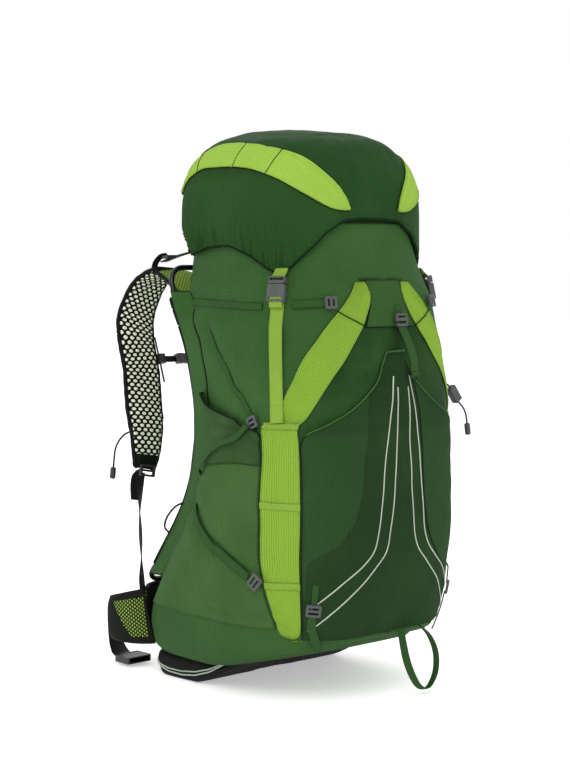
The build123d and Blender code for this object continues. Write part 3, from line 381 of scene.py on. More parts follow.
# ------------------------------------------------------------------ meshes from grids
class Cloth:
    """Grids of points gathered into one mesh, with a UV in metres and masks on its points."""

    def __init__(self, name, mirror=False):
        self.name = name
        self.mirror = mirror
        self.points, self.faces, self.uvs, self.marks = [], [], [], []
        self.count = 0

    def grid(self, points, uv=None, closed=False, flip=False, poles=(False, False), **marks):
        """Quads between rows and columns of points; closed joins the last column to the first,
        and poles close the first and the last row with a fan."""
        rows, cols = points.shape[:2]
        if uv is None:
            uv = lengths(points, closed)
        wide = cols + 1 if closed else cols
        if uv.shape[1] < wide:
            uv = np.concatenate([uv, 2 * uv[:, -1:] - uv[:, -2:-1]], axis=1)
        r = np.arange(rows - 1)[:, None]
        c = np.arange(cols if closed else cols - 1)[None, :]
        right = (c + 1) % cols
        corners = np.stack([r * cols + c, r * cols + right, (r + 1) * cols + right, (r + 1) * cols + c], -1)
        places = np.stack([r * wide + c, r * wide + c + 1, (r + 1) * wide + c + 1, (r + 1) * wide + c], -1)
        corners, places = corners.reshape(-1, 4), places.reshape(-1, 4)
        flat = uv.reshape(-1, 2)
        quads, loops = (corners + self.count).tolist(), flat[places].reshape(-1, 4, 2)
        turned = flip != self.mirror
        if turned:
            quads = [q[::-1] for q in quads]
            loops = loops[:, ::-1]
        self.faces += quads
        self.uvs.append(loops.reshape(-1, 2))
        added = [points.reshape(-1, 3)]
        total = rows * cols
        for end, row in enumerate((0, rows - 1)):
            if not poles[end]:
                continue
            added.append(points[row].mean(axis=0)[None])
            ringed = [(k, (k + 1) % cols) for k in range(cols)]
            for a, b in ringed:
                fan = [self.count + row * cols + a, self.count + total, self.count + row * cols + b]
                if (end == 1) != turned:
                    fan = fan[::-1]
                self.faces.append(fan)
                self.uvs.append(np.array([uv[row, a], uv[row].mean(axis=0), uv[row, b]]))
            total += 1
        merged = np.concatenate(added)
        self.points.append(mirrored(merged) if self.mirror else merged)
        kept = {}
        for key, value in marks.items():
            value = np.broadcast_to(np.asarray(value, float), (rows, cols)).ravel()
            kept[key] = np.concatenate([value, np.full(total - rows * cols, value[-1])])
        self.marks.append((total, kept))
        self.count += total
        return self

    def shell(self, top, bottom, uv=None, **marks):
        """Closed thin piece between an upper and a lower grid, capped at both row ends."""
        rows, cols = top.shape[:2]
        both = np.concatenate([top, bottom[:, ::-1]], axis=1)
        uv = lengths(top, False) if uv is None else uv
        uv = np.concatenate([uv, uv[:, ::-1]], axis=1)
        doubled = {}
        for key, value in marks.items():
            value = np.broadcast_to(np.asarray(value, float), (rows, cols))
            doubled[key] = np.concatenate([value, value[:, ::-1]], axis=1)
        start = self.count
        self.grid(both, uv=uv, closed=True, **doubled)
        turned = self.mirror
        for row, way in ((0, False), (rows - 1, True)):
            for k in range(cols - 1):
                quad = [start + row * 2 * cols + j for j in (k + 1, k, 2 * cols - 1 - k, 2 * cols - 2 - k)]
                place = [uv[row, j] for j in (k + 1, k, k, k + 1)]
                if way != turned:
                    quad, place = quad[::-1], place[::-1]
                self.faces.append(quad)
                self.uvs.append(np.array(place))
        return self

    def tube(self, path, radius, sides=8):
        """Closed round cord along a path; radius is a number or one for each point."""
        path = np.asarray(path, float)
        ahead = unit(np.gradient(path, axis=0))
        up = np.where(np.abs(ahead[:, 2:3]) > 0.9, np.array([[0, 1.0, 0]]), np.array([[0, 0, 1.0]]))
        across = unit(np.cross(ahead, up))
        lift = np.cross(across, ahead)
        a = np.arange(sides) * TAU / sides
        r = np.broadcast_to(np.asarray(radius, float), (len(path),))[:, None, None]
        ringed = path[:, None] + r * (across[:, None] * np.cos(a)[:, None] + lift[:, None] * np.sin(a)[:, None])
        return self.grid(ringed, closed=True, flip=True, poles=(True, True))

    def stitches(self, path, outs, pitch=STITCH, wide=0.0005, lift=0.0003):
        """Row of thread stitches: a short bead on every step of a path, lying on its surface."""
        run = run_along(path)
        count = int(run[-1] / pitch)
        if count < 2:
            return self
        s = (np.arange(count) + 0.5) * pitch
        at = np.stack([np.interp(s, run, path[:, k]) for k in range(3)], -1)
        out = unit(np.stack([np.interp(s, run, outs[:, k]) for k in range(3)], -1))
        ahead = unit(np.stack([np.interp(s + 0.3 * pitch, run, path[:, k]) for k in range(3)], -1) - at)
        side = np.cross(ahead, out)
        half = 0.34 * pitch
        shape = [(-half, 0, -wide), (0, wide, 0), (0, 0, wide), (0, -wide, 0), (0, 0, -wide), (half, 0, -wide)]
        corners = np.stack([at + a * ahead + b * side + (c + lift) * out for a, b, c in shape], 1)
        bead = [(0, 2, 1), (0, 3, 2), (0, 4, 3), (0, 1, 4), (5, 1, 2), (5, 2, 3), (5, 3, 4), (5, 4, 1)]
        for k in range(count):
            for face in bead:
                face = [self.count + 6 * k + j for j in face]
                self.faces.append(face[::-1] if not self.mirror else face)
        self.uvs.append(np.zeros((count * 24, 2)))
        flat = corners.reshape(-1, 3)
        self.points.append(mirrored(flat) if self.mirror else flat)
        self.marks.append((count * 6, {}))
        self.count += count * 6
        return self

    def mask(self, key, values):
        """A mask over the top grid of a panel, and the same on its underside."""
        self.marks[0][1][key] = np.concatenate([values, values[:, ::-1]], axis=1).ravel()

    def build(self, material, body, slot, replaces=()):
        mesh = bpy.data.meshes.new(self.name)
        mesh.from_pydata(np.concatenate(self.points), [], self.faces)
        layer = mesh.uv_layers.new(name="cloth_metres")
        layer.data.foreach_set("uv", np.concatenate(self.uvs).astype(np.float32).ravel())
        for key in sorted({k for _, kept in self.marks for k in kept}):
            values = np.concatenate([kept.get(key, np.zeros(total)) for total, kept in self.marks])
            mesh.attributes.new(key, "FLOAT", "POINT").data.foreach_set("value", values.astype(np.float32))
        mesh.shade_smooth()
        piece = bpy.data.objects.new(self.name, mesh)
        bpy.context.scene.collection.objects.link(piece)
        mesh.materials.append(material)
        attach(piece, body)
        if replaces:
            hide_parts(*replaces)
        return piece


def lengths(points, closed):
    """UV of a grid in metres: mean run across its rows, and mean run down its columns."""
    across = np.linalg.norm(np.diff(points, axis=1), axis=-1).mean(axis=0)
    if closed:
        across = np.append(across, np.linalg.norm(points[:, 0] - points[:, -1], axis=-1).mean())
    down = np.linalg.norm(np.diff(points, axis=0), axis=-1).mean(axis=1)
    u = np.concatenate([[0], np.cumsum(across)])
    v = np.concatenate([[0], np.cumsum(down)])
    return np.stack(np.broadcast_arrays(u[None, :], v[:, None]), -1)


def grid_outs(points):
    """Unit normals of an open grid whose rows climb and whose columns run to its right."""
    return unit(np.cross(np.gradient(points, axis=1), np.gradient(points, axis=0)))


def panel(name, place, rows, count, columns, lift, low=None, hem=0.0010, mirror=False):
    """Layer sewn on a surface. Rows are (height, first turn, last turn), joined by a smooth curve;
    the top stands lift(across, along, points) out, and its borders are rolled into a low bead.
    Returns the mesh builder, the top grid and its normals."""
    table = curve_through(rows, count)
    across = np.linspace(0, 1, columns)
    turns = table[:, 1:2] + (table[:, 2:3] - table[:, 1:2]) * across
    heights = np.repeat(table[:, :1], columns, axis=1)
    return turned_panel(name, place, turns, heights, lift, CLOTH, low, hem, mirror)


def turned_panel(name, place, turns, heights, lift, thick=CLOTH, low=None, hem=0.0010, mirror=False):
    """The same for a grid of turns and heights."""
    rows, columns = turns.shape
    base = place(turns, heights)
    across = np.linspace(0, 1, columns)[None, :]
    along = np.linspace(0, 1, rows)[:, None]
    side_run = np.linalg.norm(np.diff(base, axis=1), axis=-1).sum(axis=1)[:, None]
    up_run = np.linalg.norm(np.diff(base, axis=0), axis=-1).sum(axis=0)[None, :]
    border = np.minimum(np.minimum(across, 1 - across) * side_run, np.minimum(along, 1 - along) * up_run)
    raise_by = lift(across, along, base) + hem * np.exp(-((border - 0.0016) / 0.0014) ** 2)
    raise_by = raise_by - 0.5 * thick * np.exp(-(border / 0.0007) ** 2)
    top = place(turns, heights, raise_by + thick)
    under = np.full(raise_by.shape, 0.0002) if low is None else raise_by + low
    bottom = place(turns, heights, np.minimum(under, raise_by + 0.4 * thick))
    cloth = Cloth(name, mirror)
    cloth.shell(top, bottom, edge=np.exp(-(border / 0.0022) ** 2), border=np.minimum(border, 0.02) / 0.02)
    return cloth, top, grid_outs(top)


def ribbon(cloth, centres, outs, width, thick=WEBBING, columns=9, twist=None):
    """Flat webbing through centres, square to outs: slightly crowned, rounded at both edges."""
    centres, outs = np.asarray(centres, float), np.asarray(outs, float)
    ahead = unit(np.gradient(centres, axis=0))
    side = unit(np.cross(ahead, outs))
    up = np.cross(side, ahead)
    if twist is not None:
        c, s = np.cos(twist)[:, None], np.sin(twist)[:, None]
        side, up = side * c + up * s, up * c - side * s
    u = np.sin(np.linspace(-math.pi / 2, math.pi / 2, columns))
    wide = np.broadcast_to(np.asarray(width, float), (len(centres),))[:, None, None] / 2
    rim = 0.5 * thick * np.sqrt(np.clip(1 - np.abs(u) ** 8, 0, 1)) + 0.0001
    top = centres[:, None] + side[:, None] * wide * u[:, None] + up[:, None] * (rim + 0.0003 * (1 - u**2))[:, None]
    low = centres[:, None] + side[:, None] * wide * u[:, None] - up[:, None] * (rim - 0.00005)[:, None]
    run = run_along(centres)
    uv = np.stack(np.broadcast_arrays(u[None, :] * wide[:, 0], run[:, None]), -1)
    rim_mark = np.broadcast_to(np.abs(u) ** 10, top.shape[:2])
    cloth.shell(top, low, uv=uv, edge=rim_mark)
    return top, up


def smoothed(line, count):
    """A line with each point moved to the mean of the points around it."""
    reach = count // 2
    padded = np.concatenate([line[:1].repeat(reach, 0), line, line[-1:].repeat(reach, 0)])
    return np.stack([np.convolve(padded[:, k], np.ones(count) / count, "valid") for k in range(3)], -1)


def strap_over(cloth, way, width, low=GAP, count=60, start_tuck=0.0, end_tuck=0.0):
    """Webbing over the bag's cloth along turns and heights; its ends can dive by a tuck."""
    fine = curve_through(way, count)
    s = np.linspace(0, 1, count)
    dive = start_tuck * (1 - rise(s, 0, 0.06)) + end_tuck * rise(s, 0.94, 1)
    centres = on_bag(fine[:, 0], fine[:, 1], low + WEBBING / 2 - dive)
    ribbon(cloth, smoothed(centres, 5), outward(bag, fine[:, 0], fine[:, 1]), width)


def piped(name, lines, radius, around, material, body, slot, mirror=False):
    """Round piping along each line, as one piece."""
    cloth = Cloth(name, mirror)
    for line in lines:
        cloth.tube(line, radius, around)
    cloth.build(material, body, slot)


def sewn(name, rows, pitch, material, body, slot, mirror=False):
    """Stitches along each line and its normals, as one piece."""
    cloth = Cloth(name, mirror)
    for line, outs in rows:
        cloth.stitches(line, outs, pitch)
    cloth.build(material, body, slot)


def woven(name, runs, material, body, slot, replaced=(), mirror=False):
    """Webbings, each given as its places, normals, width and thickness, as one piece."""
    cloth = Cloth(name, mirror)
    for run in runs:
        ribbon(cloth, *run)
    cloth.build(material, body, slot, [] if mirror else list(replaced))


# ------------------------------------------------------------------ materials
def srgb(r, g, b):
    """Linear colour of a display colour."""
    return tuple((c / 255 / 12.92 if c <= 10 else ((c / 255 + 0.055) / 1.055) ** 2.4) for c in (r, g, b)) + (1.0,)


class Wires:
    """Short ways to add and join nodes in a tree."""

    def __init__(self, tree):
        self.tree = tree

    def node(self, kind, **settings):
        made = self.tree.nodes.new(kind)
        for key, value in settings.items():
            setattr(made, key, value)
        return made

    def put(self, value, socket):
        if isinstance(value, bpy.types.NodeSocket):
            self.tree.links.new(value, socket)
        else:
            socket.default_value = value

    def math(self, operation, a, b=None, c=None):
        made = self.node("ShaderNodeMath", operation=operation)
        for value, socket in zip((a, b, c), made.inputs):
            if value is not None:
                self.put(value, socket)
        return made.outputs[0]

    def times(self, a, b):
        return self.math("MULTIPLY", a, b)

    def plus(self, a, b):
        return self.math("ADD", a, b)

    def less(self, a, b):
        return self.math("SUBTRACT", a, b)

    def fold(self, a, b):
        return self.math("PINGPONG", a, b)

    def scaled(self, a, factor, added):
        return self.math("MULTIPLY_ADD", a, factor, added)

    def split(self, vector):
        made = self.node("ShaderNodeSeparateXYZ")
        self.put(vector, made.inputs[0])
        return made.outputs

    def mix(self, share, a, b, blend="MIX"):
        made = self.node("ShaderNodeMix", data_type="RGBA", blend_type=blend)
        self.put(share, made.inputs[0])
        self.put(a, made.inputs[6])
        self.put(b, made.inputs[7])
        return made.outputs[2]

    def noise(self, vector, scale, detail=3.0, rough=0.55):
        made = self.node("ShaderNodeTexNoise")
        self.put(vector, made.inputs["Vector"])
        self.put(scale, made.inputs["Scale"])
        self.put(detail, made.inputs["Detail"])
        self.put(rough, made.inputs["Roughness"])
        return made.outputs[0]

    def ramp(self, value, low, high):
        made = self.node("ShaderNodeMapRange", interpolation_type="SMOOTHSTEP")
        self.put(value, made.inputs[0])
        self.put(low, made.inputs[1])
        self.put(high, made.inputs[2])
        return made.outputs[0]

    def group(self, tree, **values):
        made = self.node("ShaderNodeGroup", node_tree=tree)
        for key, value in values.items():
            self.put(value, made.inputs[key.replace("_", " ")])
        return made.outputs


def new_group(name, inputs, outputs):
    tree = bpy.data.node_groups.new(name, "ShaderNodeTree")
    for title, kind, default in inputs:
        socket = tree.interface.new_socket(name=title, in_out="INPUT", socket_type="NodeSocket" + kind)
        if default is not None:
            socket.default_value = default
    for title, kind in outputs:
        tree.interface.new_socket(name=title, in_out="OUTPUT", socket_type="NodeSocket" + kind)
    return Wires(tree), tree.nodes.new("NodeGroupInput").outputs, tree.nodes.new("NodeGroupOutput").inputs


def make_thread_group():
    """Plain weave with a raised grid of doubled threads: height of the threads, and the grid."""
    w, ins, outs = new_group("woven threads", [
        ("Place", "Vector", None), ("Threads", "Float", 900.0), ("Grid", "Float", 200.0)],
        [("Height", "Float"), ("Grid line", "Float")])
    part = w.split(ins["Place"])
    waves = [w.math("SINE", w.times(w.times(part[axis], ins["Threads"]), TAU)) for axis in (0, 1)]
    lines = [w.ramp(w.fold(w.times(part[axis], ins["Grid"]), 0.5), 0.13, 0.03) for axis in (0, 1)]
    w.put(w.times(*waves), outs["Height"])
    w.put(w.math("MAXIMUM", *lines), outs["Grid line"])
    return w.tree


def make_rib_group():
    """Parallel ribs across one direction, broken by small cross threads."""
    w, ins, outs = new_group("ribs", [
        ("Place", "Vector", None), ("Ribs", "Float", 330.0), ("Picks", "Float", 500.0)],
        [("Height", "Float"), ("Painted_rib_shade", "Float")])
    part = w.split(ins["Place"])
    rib = w.fold(w.times(part[0], ins["Ribs"]), 0.5)
    row = w.math("SINE", w.times(w.times(part[1], ins["Picks"]), TAU))
    round_rib = w.math("POWER", w.times(rib, 2.0), 0.5)
    w.put(w.scaled(row, 0.18, round_rib), outs["Height"])
    # Mask of the rib valleys, where the ribbed material paints shade.
    w.put(w.ramp(rib, 0.16, 0.02), outs["Painted_rib_shade"])
    return w.tree


def make_hole_group():
    """Staggered ovals: 1 inside a hole and 0 between them, and how deep the hole is pressed."""
    w, ins, outs = new_group("staggered ovals", [
        ("Place", "Vector", None), ("Across", "Float", 0.0115), ("Along", "Float", 0.0125),
        ("Oval width", "Float", 0.31), ("Oval height", "Float", 0.20)],
        [("Hole", "Float"), ("Depth", "Float")])
    part = w.split(ins["Place"])
    u = w.math("DIVIDE", part[0], ins["Across"])
    v = w.math("DIVIDE", part[1], ins["Along"])

    def from_middle(along, shift, size):
        off = w.less(w.math("FRACT", w.plus(along, shift)), 0.5)
        return w.math("POWER", w.math("ABSOLUTE", w.math("DIVIDE", off, ins[size])), 2.2)
    nearest = w.math("MINIMUM", *(w.plus(from_middle(u, shift, "Oval width"), from_middle(v, shift, "Oval height"))
                                  for shift in (0.0, 0.5)))
    w.put(w.ramp(nearest, 1.15, 0.85), outs["Hole"])
    w.put(w.ramp(nearest, 1.6, 0.5), outs["Depth"])
    return w.tree


def make_wear_group():
    """Colour with slow fading, dusty patches and fine mottling."""
    w, ins, outs = new_group("fading and dust", [
        ("Place", "Vector", None), ("Colour", "Color", (0.5, 0.5, 0.5, 1)), ("Faded", "Color", (0.6, 0.6, 0.6, 1)),
        ("Amount", "Float", 0.35), ("Size", "Float", 9.0)], [("Colour", "Color"), ("Patch", "Float")])
    slow = w.ramp(w.noise(ins["Place"], ins["Size"], 4.0), 0.35, 0.75)
    fine = w.noise(ins["Place"], 320.0, 2.0, 0.7)
    share = w.times(slow, ins["Amount"])
    colour = w.mix(share, ins["Colour"], ins["Faded"])
    speck = w.scaled(fine, 0.24, 0.88)
    grey = w.node("ShaderNodeCombineColor")
    for k in range(3):
        w.put(speck, grey.inputs[k])
    w.put(w.mix(1.0, colour, grey.outputs[0], "MULTIPLY"), outs["Colour"])
    w.put(slow, outs["Patch"])
    return w.tree


THREADS = make_thread_group()
RIBS = make_rib_group()
HOLES = make_hole_group()
WEAR = make_wear_group()


def shade(colour, factor):
    return tuple(c * factor for c in colour[:3]) + (1.0,)


def new_material(name, rough, metal=0.0, specular=0.5):
    material = bpy.data.materials.new(name)
    material.use_nodes = True
    w = Wires(material.node_tree)
    shader = material.node_tree.nodes["Principled BSDF"]
    shader.inputs["Roughness"].default_value = rough
    shader.inputs["Metallic"].default_value = metal
    shader.inputs["Specular IOR Level"].default_value = specular
    return material, w, shader


def bump(w, shader, height, distance):
    made = w.node("ShaderNodeBump")
    w.put(height, made.inputs["Height"])
    made.inputs["Distance"].default_value = distance
    made.inputs["Strength"].default_value = 1.0
    w.put(made.outputs[0], shader.inputs["Normal"])


def places(w):
    """The piece's own place and its cloth metres."""
    spot = w.node("ShaderNodeTexCoord").outputs["Object"]
    uv = w.node("ShaderNodeUVMap", uv_map="cloth_metres").outputs[0]
    return spot, uv


def mark(w, name):
    return w.node("ShaderNodeAttribute", attribute_name=name).outputs["Fac"]


def cloth_material(name, colour, faded=None, threads=850.0, grid=190.0, grid_tone=0.16,
                   rough=0.62, second=None, depth=0.00022):
    """Woven nylon: mottled colour, a doubled-thread grid, painted shade in seam valleys, at hems and in gathers, and
    darker edges.
    second, if given, is the colour where the mark called tone is 1."""
    material, w, shader = new_material(name, rough, specular=0.06)
    spot, uv = places(w)
    base = colour if second is None else w.mix(mark(w, "tone"), colour, second)
    worn = w.group(WEAR, Place=spot, Colour=base, Faded=faded or shade(colour, 1.5), Amount=0.35)
    cloth = w.group(THREADS, Place=uv, Threads=threads, Grid=grid)
    tinted = w.mix(w.times(cloth["Grid line"], grid_tone), worn["Colour"], shade(colour, 0.35))
    # Painted shade: darkens the cloth where the mark is 1 (seam valleys, the lid's hem and its gathers).
    valley = w.mix(mark(w, "valley"), tinted, shade(colour, 0.22))
    edged = w.mix(w.times(mark(w, "edge"), 0.55), valley, shade(colour, 0.42))
    w.put(edged, shader.inputs["Base Color"])
    height = w.scaled(cloth["Height"], 0.4, w.times(cloth["Grid line"], 0.8))
    height = w.plus(height, w.times(w.noise(spot, 900.0, 2.0), 0.6))
    bump(w, shader, height, depth)
    w.put(w.scaled(worn["Patch"], 0.12, rough - 0.05), shader.inputs["Roughness"])
    return material


def ribbed_material(name, colour, ribs=330.0, picks=520.0, rough=0.68, depth=0.0005):
    """Ribbed weave: rows of ribs with painted shade in their valleys, mottled and darker at its borders."""
    material, w, shader = new_material(name, rough, specular=0.06)
    spot, uv = places(w)
    worn = w.group(WEAR, Place=spot, Colour=colour, Faded=shade(colour, 1.22), Amount=0.3)
    rib = w.group(RIBS, Place=uv, Ribs=ribs, Picks=picks)
    # Painted shade in the valleys between the ribs.
    tinted = w.mix(w.times(rib["Painted_rib_shade"], 0.65), worn["Colour"], shade(colour, 0.42))
    edged = w.mix(w.times(mark(w, "edge"), 0.5), tinted, shade(colour, 0.45))
    # Painted shade in seam valleys, from the mark of that name.
    seam = w.mix(mark(w, "valley"), edged, shade(colour, 0.25))
    w.put(seam, shader.inputs["Base Color"])
    bump(w, shader, rib["Height"], depth)
    w.put(w.scaled(worn["Patch"], 0.14, rough - 0.06), shader.inputs["Roughness"])
    return material


def punched_material(name, colour, under, face_mark, across=0.0115, along=0.0125):
    """Foam faced with punched mesh: staggered ovals that show a paler net where the face mark is 1."""
    material, w, shader = new_material(name, 0.85, specular=0.05)
    spot, uv = places(w)
    worn = w.group(WEAR, Place=spot, Colour=colour, Faded=shade(colour, 1.7), Amount=0.3)
    net = w.group(THREADS, Place=uv, Threads=520.0, Grid=520.0)
    pale = w.mix(w.times(net["Grid line"], 0.7), under, shade(under, 0.35))
    pale = w.mix(w.ramp(w.noise(spot, 60.0, 2.0), 0.35, 0.7), pale, shade(under, 0.8))
    hole = w.group(HOLES, Place=uv, Across=across, Along=along)
    shown = w.times(hole["Hole"], w.ramp(mark(w, face_mark), 0.4, 0.6))
    tinted = w.mix(shown, worn["Colour"], pale)
    edged = w.mix(w.times(mark(w, "edge"), 0.7), tinted, shade(colour, 0.7))
    w.put(edged, shader.inputs["Base Color"])
    pressed = w.times(hole["Depth"], w.times(mark(w, face_mark), -1.0))
    fuzz = w.times(w.noise(spot, 700.0, 2.0), 0.2)
    thread = w.times(net["Height"], 0.08)
    bump(w, shader, w.plus(pressed, w.plus(fuzz, thread)), 0.0016)
    return material


def webbing_material(name, colour, amount=0.3, rough=0.6):
    """Woven webbing: rows of slanting picks between two plain edges, painted shade in the low places of the weave, and
    darker along its rims.
    """
    material, w, shader = new_material(name, rough, specular=0.06)
    spot, uv = places(w)
    worn = w.group(WEAR, Place=spot, Colour=colour, Faded=shade(colour, 1.45), Amount=amount)
    part = w.split(uv)
    fold = w.fold(part[0], 0.0022)
    slant = w.plus(part[1], w.times(fold, 0.8))
    pick = w.fold(w.times(slant, 620.0), 0.5)
    rows = w.ramp(w.fold(w.times(part[0], 455.0), 0.5), 0.0, 0.12)
    height = w.times(w.times(pick, 2.0), rows)
    # Painted shade where the weave lies low between picks and rows.
    tinted = w.mix(w.times(w.less(1.0, height), 0.35), worn["Colour"], shade(colour, 0.4))
    edged = w.mix(w.times(mark(w, "edge"), 0.4), tinted, shade(colour, 0.5))
    w.put(edged, shader.inputs["Base Color"])
    bump(w, shader, height, 0.0003)
    return material


def moulded_material(name, colour, rough=0.42):
    """Moulded nylon hardware: fine grain, rubbed patches and dust in its texture."""
    material, w, shader = new_material(name, rough, specular=0.35)
    spot = w.node("ShaderNodeTexCoord").outputs["Object"]
    worn = w.group(WEAR, Place=spot, Colour=colour, Faded=shade(colour, 1.9), Amount=0.35, Size=70.0)
    w.put(worn["Colour"], shader.inputs["Base Color"])
    grain = w.noise(spot, 1500.0, 3.0, 0.7)
    scratch = w.noise(spot, 240.0, 5.0, 0.8)
    bump(w, shader, w.plus(grain, w.times(scratch, 0.6)), 0.00012)
    w.put(w.scaled(scratch, 0.25, rough - 0.10), shader.inputs["Roughness"])
    return material


def braid_material(name, colour, fleck):
    """Braided elastic cord: crossing strands along its length with a few paler flecks."""
    material, w, shader = new_material(name, 0.6, specular=0.06)
    spot = w.node("ShaderNodeTexCoord").outputs["Object"]
    part = w.split(spot)
    a = w.math("SINE", w.times(w.plus(part[0], part[2]), 3800.0))
    b = w.math("SINE", w.times(w.less(part[1], part[2]), 3800.0))
    cross = w.times(a, b)
    worn = w.group(WEAR, Place=spot, Colour=colour, Faded=shade(colour, 1.8), Amount=0.35, Size=60.0)
    w.put(w.mix(w.ramp(cross, 0.55, 0.9), worn["Colour"], fleck), shader.inputs["Base Color"])
    bump(w, shader, cross, 0.0003)
    return material


def tube_metal_material(name):
    """Anodised frame tube: dark satin metal with fine rubbed streaks."""
    material, w, shader = new_material(name, 0.34, metal=0.9)
    spot = w.node("ShaderNodeTexCoord").outputs["Object"]
    worn = w.group(WEAR, Place=spot, Colour=srgb(40, 42, 42), Faded=srgb(78, 80, 80), Amount=0.4, Size=40.0)
    w.put(worn["Colour"], shader.inputs["Base Color"])
    streak = w.noise(spot, 500.0, 4.0, 0.8)
    w.put(w.scaled(streak, 0.25, 0.24), shader.inputs["Roughness"])
    bump(w, shader, streak, 0.00004)
    return material


bag_cloth = cloth_material("bag ripstop green", srgb(44, 77, 36), faded=srgb(64, 98, 52), second=srgb(20, 50, 16))
lid_cloth = cloth_material("lid ripstop green", srgb(25, 57, 21), faded=srgb(40, 76, 34), second=srgb(32, 64, 26))
flap_cloth = cloth_material("front flap ripstop", srgb(44, 76, 34), faded=srgb(62, 94, 48))
pocket_net = cloth_material("stretch pocket knit", srgb(39, 67, 35), faded=srgb(52, 82, 46), second=srgb(32, 54, 28),
                            threads=700.0, grid=330.0, grid_tone=0.5, rough=0.8, depth=0.0004)
lime_ribbed = ribbed_material("lime ribbed band", srgb(118, 152, 50))
lime_lid = ribbed_material("lime lid panel", srgb(134, 168, 62), ribs=420.0, picks=600.0, depth=0.0002, rough=0.6)
hem_tape = webbing_material("dark hem tape", srgb(18, 32, 18))
hem_green = webbing_material("green stretch hem", srgb(58, 96, 46))
base_cloth = cloth_material("coated base cloth", srgb(22, 23, 22), faded=srgb(46, 47, 45), grid=150.0, rough=0.7,
                            depth=0.0004)
back_net = punched_material("back net", srgb(24, 27, 22), srgb(150, 184, 78), "net", 0.0062, 0.0068)
pad_net = punched_material("shoulder pad mesh", srgb(18, 22, 16), srgb(250, 254, 232), "net")
wing_net = punched_material("hip wing mesh", srgb(24, 26, 22), srgb(136, 166, 72), "net", 0.0056, 0.0062)
green_webbing = webbing_material("dark green webbing", srgb(44, 76, 36))
lime_webbing = webbing_material("lime webbing", srgb(124, 156, 58))
lime_tape = webbing_material("pale lime tape", srgb(156, 186, 104))
black_webbing = webbing_material("black webbing", srgb(26, 27, 27))
grey_plastic = moulded_material("grey moulded buckle", srgb(62, 63, 64))
black_plastic = moulded_material("black moulded buckle", srgb(38, 38, 40))
cord_braid = braid_material("grey elastic braid", srgb(66, 66, 68), srgb(130, 130, 128))
black_braid = braid_material("black elastic braid", srgb(32, 32, 34), srgb(92, 92, 92))
tube_metal = tube_metal_material("satin frame tube")
cord_pale = braid_material("pale pull cord", srgb(176, 190, 168), srgb(120, 150, 110))
yoke_net = punched_material("yoke net", srgb(84, 108, 40), srgb(150, 184, 78), "net", 0.0056, 0.0062)
side_pocket_cloth = cloth_material("side pocket cloth", srgb(52, 84, 40), faded=srgb(76, 108, 58),
                                   second=srgb(36, 62, 30), threads=700.0, grid=260.0, grid_tone=0.25, depth=0.0003)
reflective = webbing_material("silver reflective tape", srgb(176, 186, 170), amount=0.2, rough=0.35)
stitch_dark = moulded_material("dark green thread", srgb(24, 46, 22), 0.7)
stitch_lime = moulded_material("lime thread", srgb(150, 178, 84), 0.7)
stitch_black = moulded_material("black thread", srgb(52, 53, 52), 0.7)


# ------------------------------------------------------------------ camera, lights and floor
def make_stage():
    camera = bpy.data.objects.new("camera", bpy.data.cameras.new("camera"))
    camera.data.lens = 81.7
    camera.data.sensor_width = 36
    camera.data.clip_end = 50
    camera.location = (-1.705, -1.880, 0.600)
    aim = Vector((-0.018, -0.035, 0.437)) - camera.location
    camera.rotation_euler = aim.to_track_quat("-Z", "Y").to_euler()
    bpy.context.scene.collection.objects.link(camera)
    bpy.context.scene.camera = camera
    for name, spot, size, power, colour in [
            ("key light", (-2.0, -1.6, 2.3), 1.4, 30, (1.0, 0.985, 0.96)),
            ("front fill", (1.4, -2.4, 1.5), 2.2, 6, (0.97, 0.99, 1.0)),
            ("side fill", (-2.6, 1.0, 1.2), 1.8, 8, (0.97, 0.98, 1.0)),
            ("back fill", (1.6, 2.2, 1.8), 2.0, 10, (1.0, 1.0, 1.0)),
            ("top light", (0.1, -0.2, 2.8), 1.8, 8, (1.0, 1.0, 1.0))]:
        lamp = bpy.data.objects.new(name, bpy.data.lights.new(name, "AREA"))
        lamp.data.size = size
        lamp.data.energy = power
        lamp.data.color = colour
        lamp.location = spot
        lamp.rotation_euler = (Vector((0, 0, 0.35)) - lamp.location).to_track_quat("-Z", "Y").to_euler()
        bpy.context.scene.collection.objects.link(lamp)
    world = bpy.data.worlds.new("studio")
    world.use_nodes = True
    world.node_tree.nodes["Background"].inputs[0].default_value = (1, 1, 1, 1)
    world.node_tree.nodes["Background"].inputs[1].default_value = 1.0
    bpy.context.scene.world = world
    bpy.context.scene.view_settings.view_transform = "Standard"
    floor_mesh = bpy.data.meshes.new("floor")
    floor_mesh.from_pydata([(-14, -14, 0), (14, -14, 0), (14, 14, 0), (-14, 14, 0)], [], [(0, 1, 2, 3)])
    floor = bpy.data.objects.new("floor", floor_mesh)
    bpy.context.scene.collection.objects.link(floor)
    material, w, shader = new_material("pale floor", 0.9, specular=0.2)
    spot = w.node("ShaderNodeTexCoord").outputs["Object"]
    w.put(w.mix(w.noise(spot, 3.0, 2.0), (0.90, 0.90, 0.90, 1), (0.93, 0.93, 0.93, 1)), shader.inputs["Base Color"])
    shader.inputs["Emission Color"].default_value = (1, 1, 1, 1)
    shader.inputs["Emission Strength"].default_value = 0.40
    floor_mesh.materials.append(material)


# ------------------------------------------------------------------ the bag
def floor_height(y):
    return 0.034 + 0.245 * np.maximum(-0.032 - y, 0.0)


def foot_line(turns):
    """Height where the bag's side meets its floor, at each turn."""
    z = np.full(turns.shape, 0.04)
    for _ in range(12):
        z = floor_height(bag(turns, z)[..., 1])
    return z


